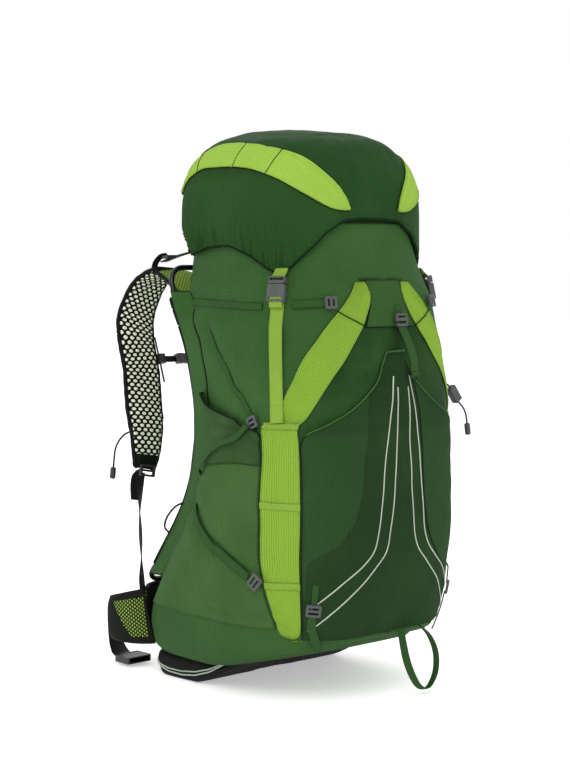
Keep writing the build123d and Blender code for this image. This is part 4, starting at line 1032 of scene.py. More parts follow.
def make_bag():
    """One closed skin: the floor from its middle outwards, a rounded foot, the filled sides up to
    the rim, and the lining back down to the inside of the floor."""
    turns = all_round(400)
    foot = foot_line(turns)
    middle = np.array([0.0, -0.03, 0.0])
    foot_radius, skin = 0.016, 0.004
    rows = discs(middle, bag(turns, foot), (0.04, 0.3, 0.55, 0.75, 0.86), lambda p, _: floor_height(p[:, 1]))
    for a in np.radians(np.linspace(0, 75, 6)):
        z = foot + foot_radius * (1 - math.cos(a))
        out = outward(bag, turns, np.maximum(z, 0.034))
        rows.append(bag(turns, z) - out * foot_radius * (1 - math.sin(a)))
    for share in np.linspace(0, 1, 196)[1:]:
        rows.append(on_bag(turns, foot + foot_radius + (BAG_TOP - foot - foot_radius) * share))
    rim, out = bag(turns, BAG_TOP), outward(bag, turns, BAG_TOP - 0.002)
    for inset, drop in ((0.0008, -0.001), (0.002, -0.0012), (0.003, 0.0), (0.0034, 0.004), (0.0036, 0.02)):
        rows.append(rim - out * inset - np.array([0, 0, drop]))
    for share in np.linspace(0.95, 0, 12):
        z = foot + skin + (BAG_TOP - foot) * share
        rows.append(bag(turns, z) - outward(bag, turns, z) * skin)
    inner = bag(turns, foot) - outward(bag, turns, foot) * skin
    rows += discs(middle, inner, (0.7, 0.35, 0.04), lambda p, _: floor_height(p[:, 1]) + 0.003)
    points = np.stack(rows)
    z = points[..., 2]
    between = np.abs(points[..., 0]) < np.interp(z, [.38, .400, .450, .500, .545, .580],
                                                 [.150, .147, .126, .094, .060, .043])
    tone = (between & (points[..., 1] < -0.15) & (z > 0.36) & (z < 0.585)).astype(float)
    left = left_half(points)
    # Painted shade along the seam valleys of the dart, the back and the foot.
    valley = np.max([np.exp(-(line_distance(left, path) / 0.0016) ** 2) for path in SEAM_LINES.values()], axis=0)
    run = np.concatenate([[0], np.cumsum(np.linalg.norm(np.diff(points, axis=0), axis=-1).mean(axis=1))])
    uv = np.stack(np.broadcast_arrays((turns * 0.168)[None, :], run[:, None]), -1)
    cloth = Cloth("bag_cloth")
    cloth.grid(points, uv=uv, closed=True, poles=(True, True), tone=tone, valley=0.8 * valley)
    cloth.build(bag_cloth, "pack", "bag_fabric", ["main_bag"])


def tray_low(y):
    """Height of the tray's underside: flat where it stands, lifting at the back and to the front."""
    return floor_height(y) * rise(-y, -0.030, 0.062) ** 0.9 + 0.028 * rise(y, 0.100, 0.142)


TRAY_WIDE, TRAY_MIDDLE, TRAY_DEEP = 0.144, 0.022, 0.114


def tray_powers(y):
    """Squarer at the back corners than at the front."""
    return np.where(y > TRAY_MIDDLE, 7, 2.8)


def make_base():
    """Tray under the bag's back: flat below, with rounded flanks that run out under the climbing
    floor, and two pale pipings that sag along each flank."""
    turns = all_round(200)
    c, s = np.cos(turns), np.sin(turns)
    y = TRAY_MIDDLE + TRAY_DEEP * np.sign(s) * np.abs(s) ** (2 / np.where(s > 0, 7, 2.8))
    plan = np.stack([TRAY_WIDE * np.sign(c) * np.abs(c) ** (2 / 5), y, 0 * y], -1)
    middle = np.array([0, 0.035, 0])
    rows = discs(middle, plan, (0.05, 0.3, 0.6, 0.8, 0.9), lambda p, _: tray_low(p[:, 1]))
    low, high = tray_low(y), floor_height(y) - 0.0006
    for a in np.radians(np.linspace(0, 180, 19)):
        q = middle + (plan - middle) * (1 - 0.075 * (1 - math.sin(a) ** 0.6))
        q[:, 2] = low + np.maximum(high - low, 0.001) * 0.5 * (1 - math.cos(a))
        rows.append(q)
    rows += discs(middle, plan, (0.8, 0.5, 0.05), lambda p, _: floor_height(p[:, 1]) - 0.0008)
    points = np.stack(rows)
    flank = np.zeros(points.shape[:2])
    flank[6:22] = 1.0
    fold = 0.9 * MM * soft_noise(points, 0.05, 61) * flank
    cloth = Cloth("base_tray")
    points = points + fold[..., None] * unit((points - middle) * np.array([1, 1, 0]))
    cloth.grid(points, closed=True, poles=(True, True))
    cloth.build(base_cloth, "pack", "base_fabric", ["base_panel"])
    share = np.linspace(0, 1, 60)
    along = 0.124 - 0.171 * share
    wide = TRAY_WIDE * (1 - (np.abs(along - TRAY_MIDDLE) / TRAY_DEEP) ** tray_powers(along)) ** (1 / 5) - 0.0002
    z = np.interp(-along, [-.124, -.105, -.080, -.050, -.020, .010, .030, .047],
                  [.0205, .0130, .0088, .0086, .0130, .0225, .0330, .0425])
    lines = [np.stack([-wide, along, z + lift * np.sin(math.pi * share) ** 0.6], -1) for lift in (0.0, 0.0052)]
    piped("base_piping", [side for line in lines for side in (line, mirrored(line))], 0.0011, 7, reflective,
          "pack", "base_fabric")


def make_collar():
    """Gathered collar above the rim, drawn in by its cord, with a ruffle of folds."""
    cols = 260
    turns = all_round(cols)
    row = [float(blend_row(BAG_LEVELS, BAG_TOP, k)) for k in range(1, 6)]

    def ringed(height, inset, ripple):
        x, y = ring(turns, BAG_HALF - row[0], BAG_FRONT + row[1], row[2], row[3], 0.0, -inset)
        p = np.stack([x, y, np.full(cols, height)], -1)
        fold = np.sin(turns * 46 + 1.5 * np.sin(turns * 7)) + 0.4 * np.sin(turns * 83)
        return p + unit(p - np.array([0, -0.03, height])) * (ripple * fold)[:, None]

    outer = [ringed(BAG_TOP - 0.016 + 0.042 * s, 0.0028 + 0.041 * max(s - 0.38, 0) ** 1.4 / 0.62**1.4,
                    0.0015 * rise(s, 0.4, 0.9)) for s in np.linspace(0, 1, 24)]
    inner = [ringed(BAG_TOP + 0.026 - 0.042 * s, 0.0045 + 0.041 * max(0.62 - s, 0) ** 1.4 / 0.62**1.4,
                    0.0015 * (1 - rise(s, 0.1, 0.6))) for s in np.linspace(0, 1, 24)]
    points = np.stack(outer + inner + outer[:1])
    cloth = Cloth("gathered_collar")
    cloth.grid(points, closed=True)
    cloth.build(bag_cloth, "pack", "bag_fabric", ["drawcord_collar"])
    path = ringed(BAG_TOP + 0.0285, 0.0405, 0.0)
    rope = Cloth("collar_cord")
    a = np.arange(10) * TAU / 10
    out = unit(path - np.array([0, -0.03, BAG_TOP + 0.0285]))
    loops = path[:, None] + 0.0015 * (out[:, None] * np.cos(a)[:, None] + np.array([0, 0, 1.0]) * np.sin(a)[:, None])
    loops = np.concatenate([loops, loops[:1]])
    rope.grid(loops, closed=True, flip=False)
    rope.build(black_braid, "pack", "elastic_cord", ["collar_drawcord"])


# ------------------------------------------------------------------ layers sewn to the front and sides
def band_back(z):
    return -0.152 - 0.020 * np.maximum(0.0, (0.220 - z) / 0.120) ** 1.5


def band_front(z):
    return -0.146 + 0.012 * np.maximum(0.0, (0.210 - z) / 0.110) ** 1.5


SLANT = MM * np.array([(400, -158, -137), (424, -154, -123), (450, -146, -106), (476, -136, -85),
                       (500, -121, -68), (522, -105, -51), (545, -83, -37), (565, -64, -31), (580, -52, -35)])


def band_rows():
    rows = [(0.094, turn_y(band_back(0.094) - 0.017, 0.094), turn_x(band_front(0.094) - 0.0085, 0.094)),
            (0.101, turn_y(band_back(0.101) - 0.004, 0.101), turn_x(band_front(0.101) - 0.002, 0.101))]
    for z in (.110, .140, .175, .210, .250, .290, .330, .365, .386):
        rows.append((z, turn_y(band_back(z), z), turn_x(band_front(z), z)))
    for z, outer, inner in SLANT:
        rows.append((z, turn_x(outer, z), turn_x(inner, z)))
    return rows


def make_bands():
    """Ribbed band up each corner that turns aside above to the flap: low ribs along its length,
    cross tapes at three heights and a cross seam near its top."""
    tapes = (0.172, 0.281, 0.388)

    def lift(across, along, base):
        z = base[..., 2]
        rib = 0.22 * MM * np.sin(across * TAU * 17)
        plump = 0.8 * MM * np.sin(math.pi * across) ** 0.5
        pinch = sum(np.exp(-((z - level - off) / 0.003) ** 2) for level in tapes for off in (-0.004, 0.004))
        seam = np.exp(-((z - 0.5 * base[..., 0] - 0.5855) / 0.0022) ** 2) * (z > 0.49)
        return rib + plump - 0.7 * MM * pinch - 1.0 * MM * seam + 0.4 * MM * soft_noise(base, 0.04, 41)
    for mirror, side in sides():
        cloth, top, outs = panel("side_band_" + side, on_bag, band_rows(), 240, 70, lift, mirror=mirror)
        cloth.build(lime_ribbed, "pack", "lime_fabric", ["side_band_" + side])
        tape = Cloth("side_band_tapes_" + side, mirror)
        thread = Cloth("side_band_thread_" + side, mirror)
        for level in tapes:
            row = int(np.argmin(np.abs(top[:, 35, 2] - level)))
            line, out = top[row, 1:-1] + outs[row, 1:-1] * 0.0006, outs[row, 1:-1]
            ribbon(tape, line, out, 0.0095, 0.0009)
            for off in (-0.0036, 0.0036):
                thread.stitches(line + np.array([0, 0, off]), out, 0.0026, lift=0.0008)
        for column in (2, -3):
            thread.stitches(top[6:-4, column], outs[6:-4, column], LONG_STITCH)
        tape.build(lime_webbing, "pack", "lime_fabric")
        thread.build(stitch_lime, "pack", "lime_fabric")
        seam = even_curve([bag(turn_x(x, z), z) for x, z in (
            (-.089, .541), (-.076, .533), (-.062, .526), (-.050, .520))], 0.002)
        lines = [top[4:, column] - outs[4:, column] * 0.0006 for column in (0, -1)]
        lines.append(np.array([on_bag(turn_x(p[0], p[2]), p[2], 0.0028) for p in seam]))
        piped("side_band_piping_" + side, lines, 0.0008, 6, hem_tape, "pack", "bag_fabric", mirror)


FLAP_ROWS = [(.519, .048), (.526, .0445), (.535, .040), (.550, .034), (.566, .031), (.577, .033), (.582, .034)]


def make_flap():
    """Small flap over the pocket's peak: a crowned cloth tab with bound edges."""
    rows = [(z, turn_x(-x, z), turn_x(x, z)) for z, x in FLAP_ROWS]

    def lift(across, along, base):
        crown = np.sin(math.pi * across) * np.sin(math.pi * (0.2 + 0.7 * along))
        return 1.6 * MM * crown + 0.4 * MM * soft_noise(base, 0.03, 43)
    cloth, top, outs = panel("front_flap_cloth", on_bag, rows, 70, 90, lift)
    cloth.build(flap_cloth, "pack", "bag_fabric", ["front_flap"])
    piped("front_flap_binding", (top[0], top[-1], top[:, 0], top[:, -1]), 0.0010, 6, hem_tape, "pack", "bag_fabric")
    sewn("front_flap_thread", [(top[k], outs[k]) for k in (3, -4)], STITCH, stitch_dark, "pack", "bag_fabric")


POCKET_EDGE = MM * np.array([(377, 138), (391, 113), (411, 77), (441, 40), (468, 24), (484, 14)])
# Centre panel of the pocket, and the four reflective lines on it, as x and z.
PANEL_LEFT = [(-.052, .430), (-.059, .400), (-.067, .350), (-.072, .305), (-.084, .262), (-.102, .232), (-.138, .206)]
PANEL_RIGHT = [(.027, .459), (.036, .380), (.043, .310), (.048, .268), (.062, .219), (.080, .196), (.108, .175)]
LINE_OUTER = [(.014, .455), (.024, .400), (.034, .340), (.043, .270), (.051, .222), (.066, .203), (.100, .176),
              (.138, .136)]
LINE_INNER = [(.0095, .440), (.012, .380), (.016, .320), (.022, .262), (.030, .217), (.046, .198), (.088, .158),
              (.132, .108)]


def make_front_pocket():
    """Stretch pocket: drawn tight at its foot, standing off towards its peaked mouth, with upright
    gathers, a stretched hem, a smoother centre panel and four reflective lines."""
    rows = [(z, -band_front(z) - 0.0015) for z in (.097, .112, .130, .165, .210, .255, .300, .340, .362)]
    rows = [(z, turn_x(-x, z), turn_x(x, z)) for z, x in rows + list(POCKET_EDGE)]

    def centre_panel(z):
        """x of the centre panel's two edges."""
        return [np.interp(z, *np.array(edge)[::-1].T[::-1]) for edge in (PANEL_LEFT, PANEL_RIGHT)]

    def lift(across, along, base):
        x = base[..., 0]
        left, right = centre_panel(base[..., 2])
        smooth = rise(x - left, -0.002, 0.002) * rise(right - x, -0.002, 0.002)
        gather = np.sin(x * TAU / 0.0052 + 0.9 * soft_noise(base, 0.06, 45)) * (1 - smooth)
        seam = np.minimum(np.abs(x - left), np.abs(x - right))
        pull = 1.2 * MM * creases(base, 0.05, 46, (1.0, 1.0, 0.3)) + 1.0 * MM * soft_noise(base, 0.10, 47)
        belly = 0.0150 * np.sin(math.pi * across) ** 2 * along**2
        return 1.4 * MM + belly + 0.16 * MM * gather - pull * np.sin(math.pi * across) - 0.8 * MM * np.exp(
            -(seam / 0.0016) ** 2)
    cloth, top, outs = panel("front_pocket_net", on_bag, rows, 250, 180, lift, low=-0.0002, hem=0.0008)
    x = top[..., 0]
    left, right = centre_panel(top[..., 2])
    cloth.mask("tone", ((x > left) & (x < right)).astype(float))
    # Painted shade along the seams of the centre panel.
    cloth.mask("valley", 0.75 * np.exp(-(np.minimum(np.abs(x - left) + 0.0010, np.abs(x - right)) / 0.0013) ** 2))
    cloth.build(pocket_net, "pack", "pocket_mesh", ["front_pocket"])

    def on_pocket(points, out):
        """Places given as x and z, carried onto the pocket's own net."""
        found, normals = [], []
        for px, _, pz in even_curve([(px, 0, pz) for px, pz in points], 0.003):
            row = int(np.argmin(np.abs(top[:, 90, 2] - pz)))
            column = int(np.argmin(np.abs(top[row, :, 0] - px)))
            found.append(top[row, column] * np.array([0, 1, 0]) + np.array([px, 0, pz]))
            normals.append(outs[row, column])
        normals = unit(np.array(normals))
        return smoothed(np.array(found), 7) + normals * out, normals
    lines = Cloth("pocket_reflective_lines")
    for way in (LINE_OUTER, LINE_INNER):
        for s in (-1, 1):
            line, normals = on_pocket([(s * px, pz) for px, pz in way], 0.0005)
            ribbon(lines, line, normals, 0.0021, 0.0006, columns=5)
    lines.build(reflective, "pack", "pocket_mesh")
    edge = int(0.64 * 249)
    foot = [top[1:edge, column] + outs[1:edge, column] * 0.0002 for column in (0, -1)]
    piped("pocket_piping", [on_pocket(PANEL_RIGHT, 0.0004)[0]] + foot, 0.0009, 6, hem_tape, "pack", "pocket_mesh")
    hem = Cloth("pocket_mouth_hem")
    for column in (0, -1):
        hem.tube(top[edge:, column] + outs[edge:, column] * 0.0008, 0.0012, 6)
    hem.tube(top[-1] + outs[-1] * 0.0004, 0.0013, 6)
    hem.build(hem_green, "pack", "pocket_mesh")
    thread = Cloth("pocket_thread")
    thread.stitches(*on_pocket(PANEL_LEFT, 0.0))
    for column in (4, -5):
        thread.stitches(top[edge:, column], outs[edge:, column])
    thread.stitches(top[3], outs[3], LONG_STITCH)
    thread.build(stitch_dark, "pack", "pocket_mesh")


def side_back(z):
    """y of the side pocket's back edge."""
    return 0.76 * blend_row(BAG_LEVELS, z, 3) + 0.24 * blend_row(BAG_LEVELS, z, 4)


def make_side_pockets():
    """Stretch pocket on each side: bellied, slant-mouthed, with an elastic hem and a seam across."""
    rows = [(z, turn_y(side_back(z), z), turn_y(band_back(z) + 0.003, z))
            for z in (.110, .145, .180, .215, .250, .290, .330, .360)]
    rows += [(z, turn_y(side_back(z), z), turn_y(y, z))
             for z, y in ((.376, -.150), (.386, -.118), (.398, -.086), (.410, -.040), (.424, -.024))]

    def above_seam(points):
        return points[..., 2] - np.interp(points[..., 1], [-.120, -.101, -.070, -.028, .025, .041],
                                          [.333, .333, .330, .323, .309, .285])

    def lift(across, along, base):
        y, z = base[..., 1], base[..., 2]
        belly = 0.0105 * np.sin(math.pi * across * (1 - 0.5 * np.clip((along - 0.5) * 6, 0, 1))) * along**2
        seam = above_seam(base)
        strap = line_distance(base, bag(LOWER_WAY[:, 0], LOWER_WAY[:, 1]))
        fold = 0.9 * MM * soft_noise(base, 0.07, 51) - 0.9 * MM * creases(base, 0.045, 52, (1, 1, .5))
        gather = 0.14 * MM * np.sin(y * TAU / 0.0055 + soft_noise(base, 0.05, 53)) * rise(z, 0.30, 0.36)
        return 0.6 * MM + belly + fold * np.sin(math.pi * across) + gather - 0.9 * MM * np.exp(
            -(seam / 0.002) ** 2) + 0.5 * MM * np.exp(-((seam - 0.006) / 0.004) ** 2) - 1.0 * MM * np.exp(
            -(strap / 0.009) ** 2)
    for mirror, side in sides():
        cloth, top, outs = panel("side_pocket_cloth_" + side, on_bag, rows, 200, 110, lift, low=-0.0002,
                                 mirror=mirror)
        cloth.mask("tone", rise(above_seam(top), -0.001, 0.001))
        # Painted shade along the cross seam.
        cloth.mask("valley", 0.9 * np.exp(-(above_seam(top) / 0.0013) ** 2))
        cloth.build(side_pocket_cloth, "pack", "pocket_mesh", ["side_pocket_" + side])
        hem = Cloth("side_pocket_hem_" + side, mirror)
        start = int(199 * 7.6 / 12)
        hem.tube(np.concatenate([top[start:, -1], top[-1, ::-1][1:]]), 0.0014, 7)
        hem.tube(top[:, 0], 0.0010, 6)
        hem.build(hem_tape, "pack", "pocket_mesh")
        sewn("side_pocket_thread_" + side, [(top[start:, -4], outs[start:, -4]), (top[-4], outs[-4])], STITCH,
             stitch_dark, "pack", "pocket_mesh", mirror)


# ------------------------------------------------------------------ webbing on the bag
LID_STRAP_LEVELS = [(.392, -.159), (.430, -.1575), (.475, -.1545), (.516, -.1508)]
BUCKLE_TOP = np.array([-.140, -.158, .590])


def make_compression_straps():
    """Webbing pulled tight round each side, its ends tucked into the seams."""
    pad_low = front_way([(-.1285, .134), (-.127, .118), (-.122, .104), (-.114, .088), (-.111, .082)])
    pad_high = front_way([(-.1290, .176), (-.1287, .160), (-.1283, .146)])
    # Each webbing: its name, the node it replaces, and its runs with width, lift, count and tucks.
    webbings = [
        ("upper_compression", "upper_compression_straps", [
            (UPPER_WAY, .0105, .0008, 90, .002, 0), (UPPER_FRONT_WAY, .0105, .0024, 24, 0, 0)]),
        ("slant_compression", "slant_compression_straps", [(SLANT_WAY, .0090, .0008, 70, .002, 0)]),
        ("side_compression", "lower_compression_straps", [
            (POCKET_WAY, .0085, .0108, 50, .004, .009), (LOWER_WAY, .0120, .0058, 60, .004, 0)]),
        ("pad", "pad_straps", [(pad_low, .0120, .0040, 30, 0, .0006), (pad_high, .0085, .0044, 16, .0045, 0)])]
    for mirror, side in sides():
        for name, node, runs in webbings:
            cloth = Cloth(name + "_webbing_" + side, mirror)
            for run in runs:
                strap_over(cloth, *run)
            cloth.build(green_webbing, "pack", "webbing_green", [] if mirror else [node])


def make_lid_straps():
    """Lime webbing from the corner band up to the lid's buckle, and the short tab on the lid."""
    rest = GAP + CLOTH + 0.0004 + WEBBING / 2
    turns = [turn_x(x, z) for z, x in LID_STRAP_LEVELS]
    line = [on_bag(turn, z, rest + 0.0014 * (z < 0.42)) for turn, (z, _) in zip(turns, LID_STRAP_LEVELS)]
    outs = [outward(bag, turn, np.float64(z)) for turn, (z, _) in zip(turns, LID_STRAP_LEVELS)]
    out = outs[-1]
    start = bag(turn_x(-.1508, .516), .516, 0) + out * rest
    way = unit(BUCKLE_TOP - start)
    line[-1:] = [start] + [start + way * away for away in (.020, .036, .046)]
    fine = curve_through(np.concatenate([np.array(line), np.array(outs + [out] * 3)], axis=1), 110)
    fold = start + way * 0.044 + out * 0.0004
    turned = even_curve([fold + way * a + out * b for a, b in (
        (0, 0), (.004, .0030), (.002, .0068), (-.006, .0070), (-.014, .0046))], 0.0012)
    joint = start + way * 0.062 + out * (WEBBING / 2 + 0.0005 + 0.004)
    tab = even_curve([joint + way * a - out * b for a, b in (
        (.0078, .0005), (.0115, .0018), (.0155, .0055), (.0225, .0095))], 0.0015)
    across = np.cross(out, way)
    normals = unit(np.cross(np.gradient(turned, axis=0), across))
    for mirror, side in sides():
        woven("lid_webbing_" + side, [(fine[:, :3], fine[:, 3:], 0.020, 0.0016), (turned, normals, 0.0196, 0.0014)],
              lime_webbing, "pack", "webbing_lime", ["lid_straps"], mirror)
        thread = Cloth("lid_webbing_thread_" + side, mirror)
        for k in (5, 12):
            row = fine[k, :3] + out * 0.0012 + np.linspace(-0.0088, 0.0088, 12)[:, None] * np.cross(outs[0], way)
            thread.stitches(row, np.repeat(out[None], 12, 0), 0.0022)
        for s in (-0.0088, 0.0088):
            thread.stitches(fine[4:14, :3] + out * 0.0012 + s * across, np.repeat(out[None], 10, 0), 0.0024)
        thread.build(stitch_lime, "pack", "webbing_lime")
        woven("lid_corner_tab_" + side, [(tab, np.repeat(out[None], len(tab), 0), 0.0196, 0.0018)], lime_webbing,
              "lid", "webbing_lime", (), mirror)


def make_flap_webbing():
    """Webbing of the flap's hook and the loose end below it."""
    cloth = Cloth("flap_hook_webbing")
    way = front_way([(.015, .549), (.015, .540), (.015, .530), (.015, .5225)])
    strap_over(cloth, way, 0.0145, low=0.0024, count=20, start_tuck=0.001)
    cloth.build(green_webbing, "pack", "webbing_green", ["flap_webbing"])
    loop = even_curve([bag(turn_x(x, z), z, out * MM) for x, z, out in (
        (.0150, .519, 7.2), (.0152, .510, 10.5), (.0156, .500, 14.6), (.0160, .488, 18.4), (.0168, .474, 20.6),
        (.0172, .460, 20.0), (.0172, .4485, 18.6))], 0.002)
    normals = facing([0.05, -1, 0.1], loop)
    fold = loop[-1] + MM * np.array([(0, 0.3, 4.5), (0, -1.6, 0.5), (0, -2.6, 4.2), (0, -2.2, 9)])
    woven("flap_tail_webbing", [(loop, normals, 0.0165, 0.0016, 9, np.linspace(0.0, 0.14, len(loop))),
                                (fold, normals[:4], 0.0165, 0.0014)], green_webbing, "hook", "webbing_green",
          ["flap_tail"])


def make_axe_loop():
    """Webbing loop sewn at both ends to the foot of the front; its flat side turns as it hangs."""
    route = MM * np.array([(8, 0, 102), (11, 0, 84), (22, 0, 48), (42, 0, 16), (62, 0, 9), (78, 0, 28),
                           (79, 0, 56), (66, 0, 82), (46, 0, 100)])
    route[:, 1] = -0.245
    line = even_curve(route, 0.0025)
    outs = np.cross(unit(np.gradient(line, axis=0)), np.array([0, 1.0, 0]))
    turning = 0.25 + 0.30 * np.sin(np.linspace(0, 1, len(line)) * math.pi * 2)
    woven("axe_loop_webbing", [(line, outs, 0.0110, 0.0018, 9, turning)], green_webbing, "axe", "webbing_green",
          ["axe_loop"])


# ------------------------------------------------------------------ the lid
ARC_DROPS = MM * np.array([5, 18, 40, 70, 105, 140, 180, 215])
ARC_RUNS = MM * np.array([0, 46, 82, 115, 150, 185, 225, 260])


def make_lid():
    """Domed lid in one closed skin: crown, sides down to the hem, and the lining back up. The
    distance down the skin sets the height of each row, so that rows stay even over the crown."""
    cols = 560
    even = np.linspace(-1.5 * math.pi, 0.5 * math.pi, 1441)
    closer = np.cumsum(1 + 2.2 * rise(np.abs(lid_shape(even, 0.66)[:, 0]), 0.125, 0.140) * (np.sin(even) > -0.6))
    closer = (closer - closer[0]) / (closer[-1] - closer[0])
    turns = np.interp(np.arange(cols) / cols, closer, even)
    hem = hem_height(turns)
    ends = np.interp(LID_TOP - hem, ARC_DROPS, ARC_RUNS)
    crown_height, crown_run = 0.790, 0.055
    middle = np.array([0, -0.0585, crown_height])
    shares = (0.03, 0.15, 0.3, 0.45, 0.6, 0.72, 0.84, 0.93)
    rows = discs(middle, lid_shape(turns, crown_height), shares,
                 lambda p, share: crown_height + 0.0062 * (1 - share**2))
    for p in rows:
        p[:, 2] += lid_swells(p)
    runs = [np.full(cols, share * crown_run) for share in shares]
    for share in np.linspace(0, 1, 118):
        rows.append(on_lid(turns, LID_TOP - np.interp(ends * share, ARC_RUNS, ARC_DROPS)))
        runs.append(crown_run + ends * share)
    for inset, drop in ((0.0008, 0.0008), (0.0018, 0.0008), (0.0026, 0.0)):
        rows.append(on_lid(turns, hem, -inset) - np.array([0, 0, drop]))
        runs.append(crown_run + ends)
    for share in np.linspace(0.985, 0, 22):
        z = LID_TOP - np.interp(ends * share, ARC_RUNS, ARC_DROPS)
        rows.append(lid_shape(turns, z) - outward(lid_shape, turns, z) * 0.0042)
        runs.append(crown_run + ends * share)
    rows += discs(middle, rows[-1], (0.4,), lambda p, _: 0.787)
    runs.append(np.full(cols, 0.02))
    points, run = np.stack(rows), np.stack(runs)
    uv = np.stack([run * np.cos(turns), run * np.sin(turns)], -1)
    x, z = np.abs(points[..., 0]), points[..., 2]
    tone = rise(-z, -0.735, -0.715) * rise(x, 0.06, 0.075)
    # Painted shade: in the gathers above each side hem, and along the hem itself.
    drawn = rise(soft_noise(points * np.array([1, 1, 0.22]), 0.011, 38), 0.1, 0.8) * rise(x, 0.118, 0.135)
    drawn = drawn * np.exp(-(np.maximum(z - hem, 0) / 0.024) ** 1.5)
    valley = np.maximum(0.85 * np.exp(-((z - hem) / 0.0022) ** 2), 0.5 * drawn)
    cloth = Cloth("lid_dome_cloth")
    cloth.grid(points, uv=uv, closed=True, poles=(True, True), tone=tone, valley=valley)
    cloth.build(lid_cloth, "lid", "lid_fabric", ["lid_shell"])
    line = on_lid(turns, hem + 0.0006, 0.0006)
    piped("lid_hem_binding", [np.concatenate([line, line[:2]])], 0.0009, 8, hem_tape, "lid", "lid_fabric")
    turns_on = np.append(turns, turns[0])
    line = on_lid(turns_on, np.append(hem, hem[0]) + 0.0075, 0.0)
    sewn("lid_hem_thread", [(line, outward(lid_shape, turns_on, np.append(hem, hem[0]) + 0.0075))], LONG_STITCH,
         stitch_dark, "lid", "lid_fabric")
    base = lid_shape(turns[::5], 0.712) - outward(lid_shape, turns[::5], 0.712) * 0.0048
    centre = np.array([0, LID_MIDDLE, 0.712])
    shares = (0.05, 0.3, 0.55, 0.8, 0.97, 1.0)
    sheets = discs(centre, base, shares, lambda p, share: (
        0.712 - 0.006 * (1 - share**2) + 0.001 * soft_noise(p, 0.05, 71)))
    sheets += discs(centre, base, shares[::-1], lambda p, share: 0.7135 - 0.006 * (1 - share**2))
    floor = Cloth("lid_lining")
    floor.grid(np.stack(sheets), closed=True, poles=(True, True))
    floor.build(lid_cloth, "lid", "lid_fabric", ["lid_floor"])


def make_crescents():
    """Light crescent along each upper edge of the lid, with fine ribs near its tip, cross tapes
    and dark piped edges."""
    last = 239
    high, low = (curve_through(edge, last + 1)[:, None] for edge in (crescent_high, crescent_low))
    q = np.linspace(0, 1, 60)[None, ::-1, None]
    grid = high * (1 - q) + low * q

    def lift(across, along, base):
        rib = 0.22 * MM * np.sin(across * TAU * 13) * rise(along, 0.65, 0.70) * (1 - rise(along, 0.90, 0.98))
        plump = 1.6 * MM * np.sin(math.pi * across) ** 0.7
        pinch = sum(0.9 * MM * np.exp(-((along - place) / 0.006) ** 2) for place in (0.25, 0.48, 0.605, 0.655))
        gather = 0.4 * MM * np.sin(along * TAU * 46 + 2 * soft_noise(base, 0.03, 73)) * np.exp(-(across / 0.16) ** 2)
        return 0.3 * MM + rib + plump - pinch + gather * (along < 0.64) + 0.5 * MM * soft_noise(base, 0.035, 74)
    for mirror, side in sides():
        cloth, top, outs = turned_panel("lid_crescent_" + side, on_lid, grid[..., 0], grid[..., 1], lift,
                                        mirror=mirror)
        cloth.build(lime_lid, "lid", "lime_fabric", [] if mirror else ["lid_crescents"])
        piping = Cloth("lid_crescent_piping_" + side, mirror)
        for column in (0, -1):
            piping.tube(top[:, column] - outs[:, column] * 0.0002, 0.0007, 6)
        for row in (int(place * last) for place in (0.25, 0.487, 0.655)):
            piping.tube(top[row] + outs[row] * 0.0002, 0.0008, 6)
        piping.build(hem_tape, "lid", "lid_fabric")
        tapes = [(int(place * last), width) for place, width in ((0.462, 0.0042), (0.625, 0.0070))]
        woven("lid_crescent_tape_" + side, [(top[k] + outs[k] * 0.0008, outs[k], width, 0.0007)
                                            for k, width in tapes], lime_tape, "lid", "lime_fabric", (), mirror)
        sewn("lid_crescent_thread_" + side, [(top[4:-4, k], outs[4:-4, k]) for k in (3, -4)], LONG_STITCH,
             stitch_lime, "lid", "lime_fabric", mirror)


def make_zip():
    """Zip across the lid's back: a tape and a row of interlocked teeth."""
    level = LID_TOP - 0.098
    half = float(lid_shape(0.0, level)[0])
    xs = np.linspace(-0.078, 0.078, 80)
    turns = np.arccos(np.sign(xs) * (np.abs(xs) / half) ** (BACK_POWER / 2))
    outs = outward(lid_shape, turns, np.full(80, level))
    centres = on_lid(turns, np.full(80, level), 0.0008)
    centres[:, 1] = np.maximum(centres[:, 1], lid_shape(turns, np.full(80, level))[:, 1] + 0.0006)
    woven("lid_zip_tape", [(centres, outs, 0.016, 0.0010)], black_webbing, "lid", "lid_fabric", ["lid_zip"])
    teeth = Cloth("lid_zip_teeth")
    for s in (-1, 1):
        line = centres + outs * 0.0006 + np.array([0, 0, 0.0009 * s])
        teeth.stitches(line, outs, 0.0016, wide=0.0009, lift=0.0003)
    teeth.build(stitch_black, "lid", "hardware_black")


def make_rear_straps():
    """Two webbings from the bag's back up round the bars of the lid's rear buckles."""
    y, z = 0.095, 0.645
    root = float(bag(math.pi / 2, BAG_TOP - 0.048)[1]) + 0.0085
    runs = []
    for x in (-0.038, 0.038):
        turn = np.linspace(-2.5, 2.6, 16)
        loop = np.stack([np.full(16, x), y + 0.0034 * np.cos(turn), z + 0.0034 * np.sin(turn)], -1)
        route = np.concatenate([[(x, root, BAG_TOP - 0.060), (x, root + 0.004, BAG_TOP - 0.042)], loop[:-2]])
        line = even_curve(route, 0.0015)
        runs.append((line, np.cross(unit(np.gradient(line, axis=0)), np.array([1.0, 0, 0])), 0.0235, 0.0015))
    woven("lid_rear_webbing", runs, black_webbing, "pack", "webbing_black", ["lid_rear_straps"])


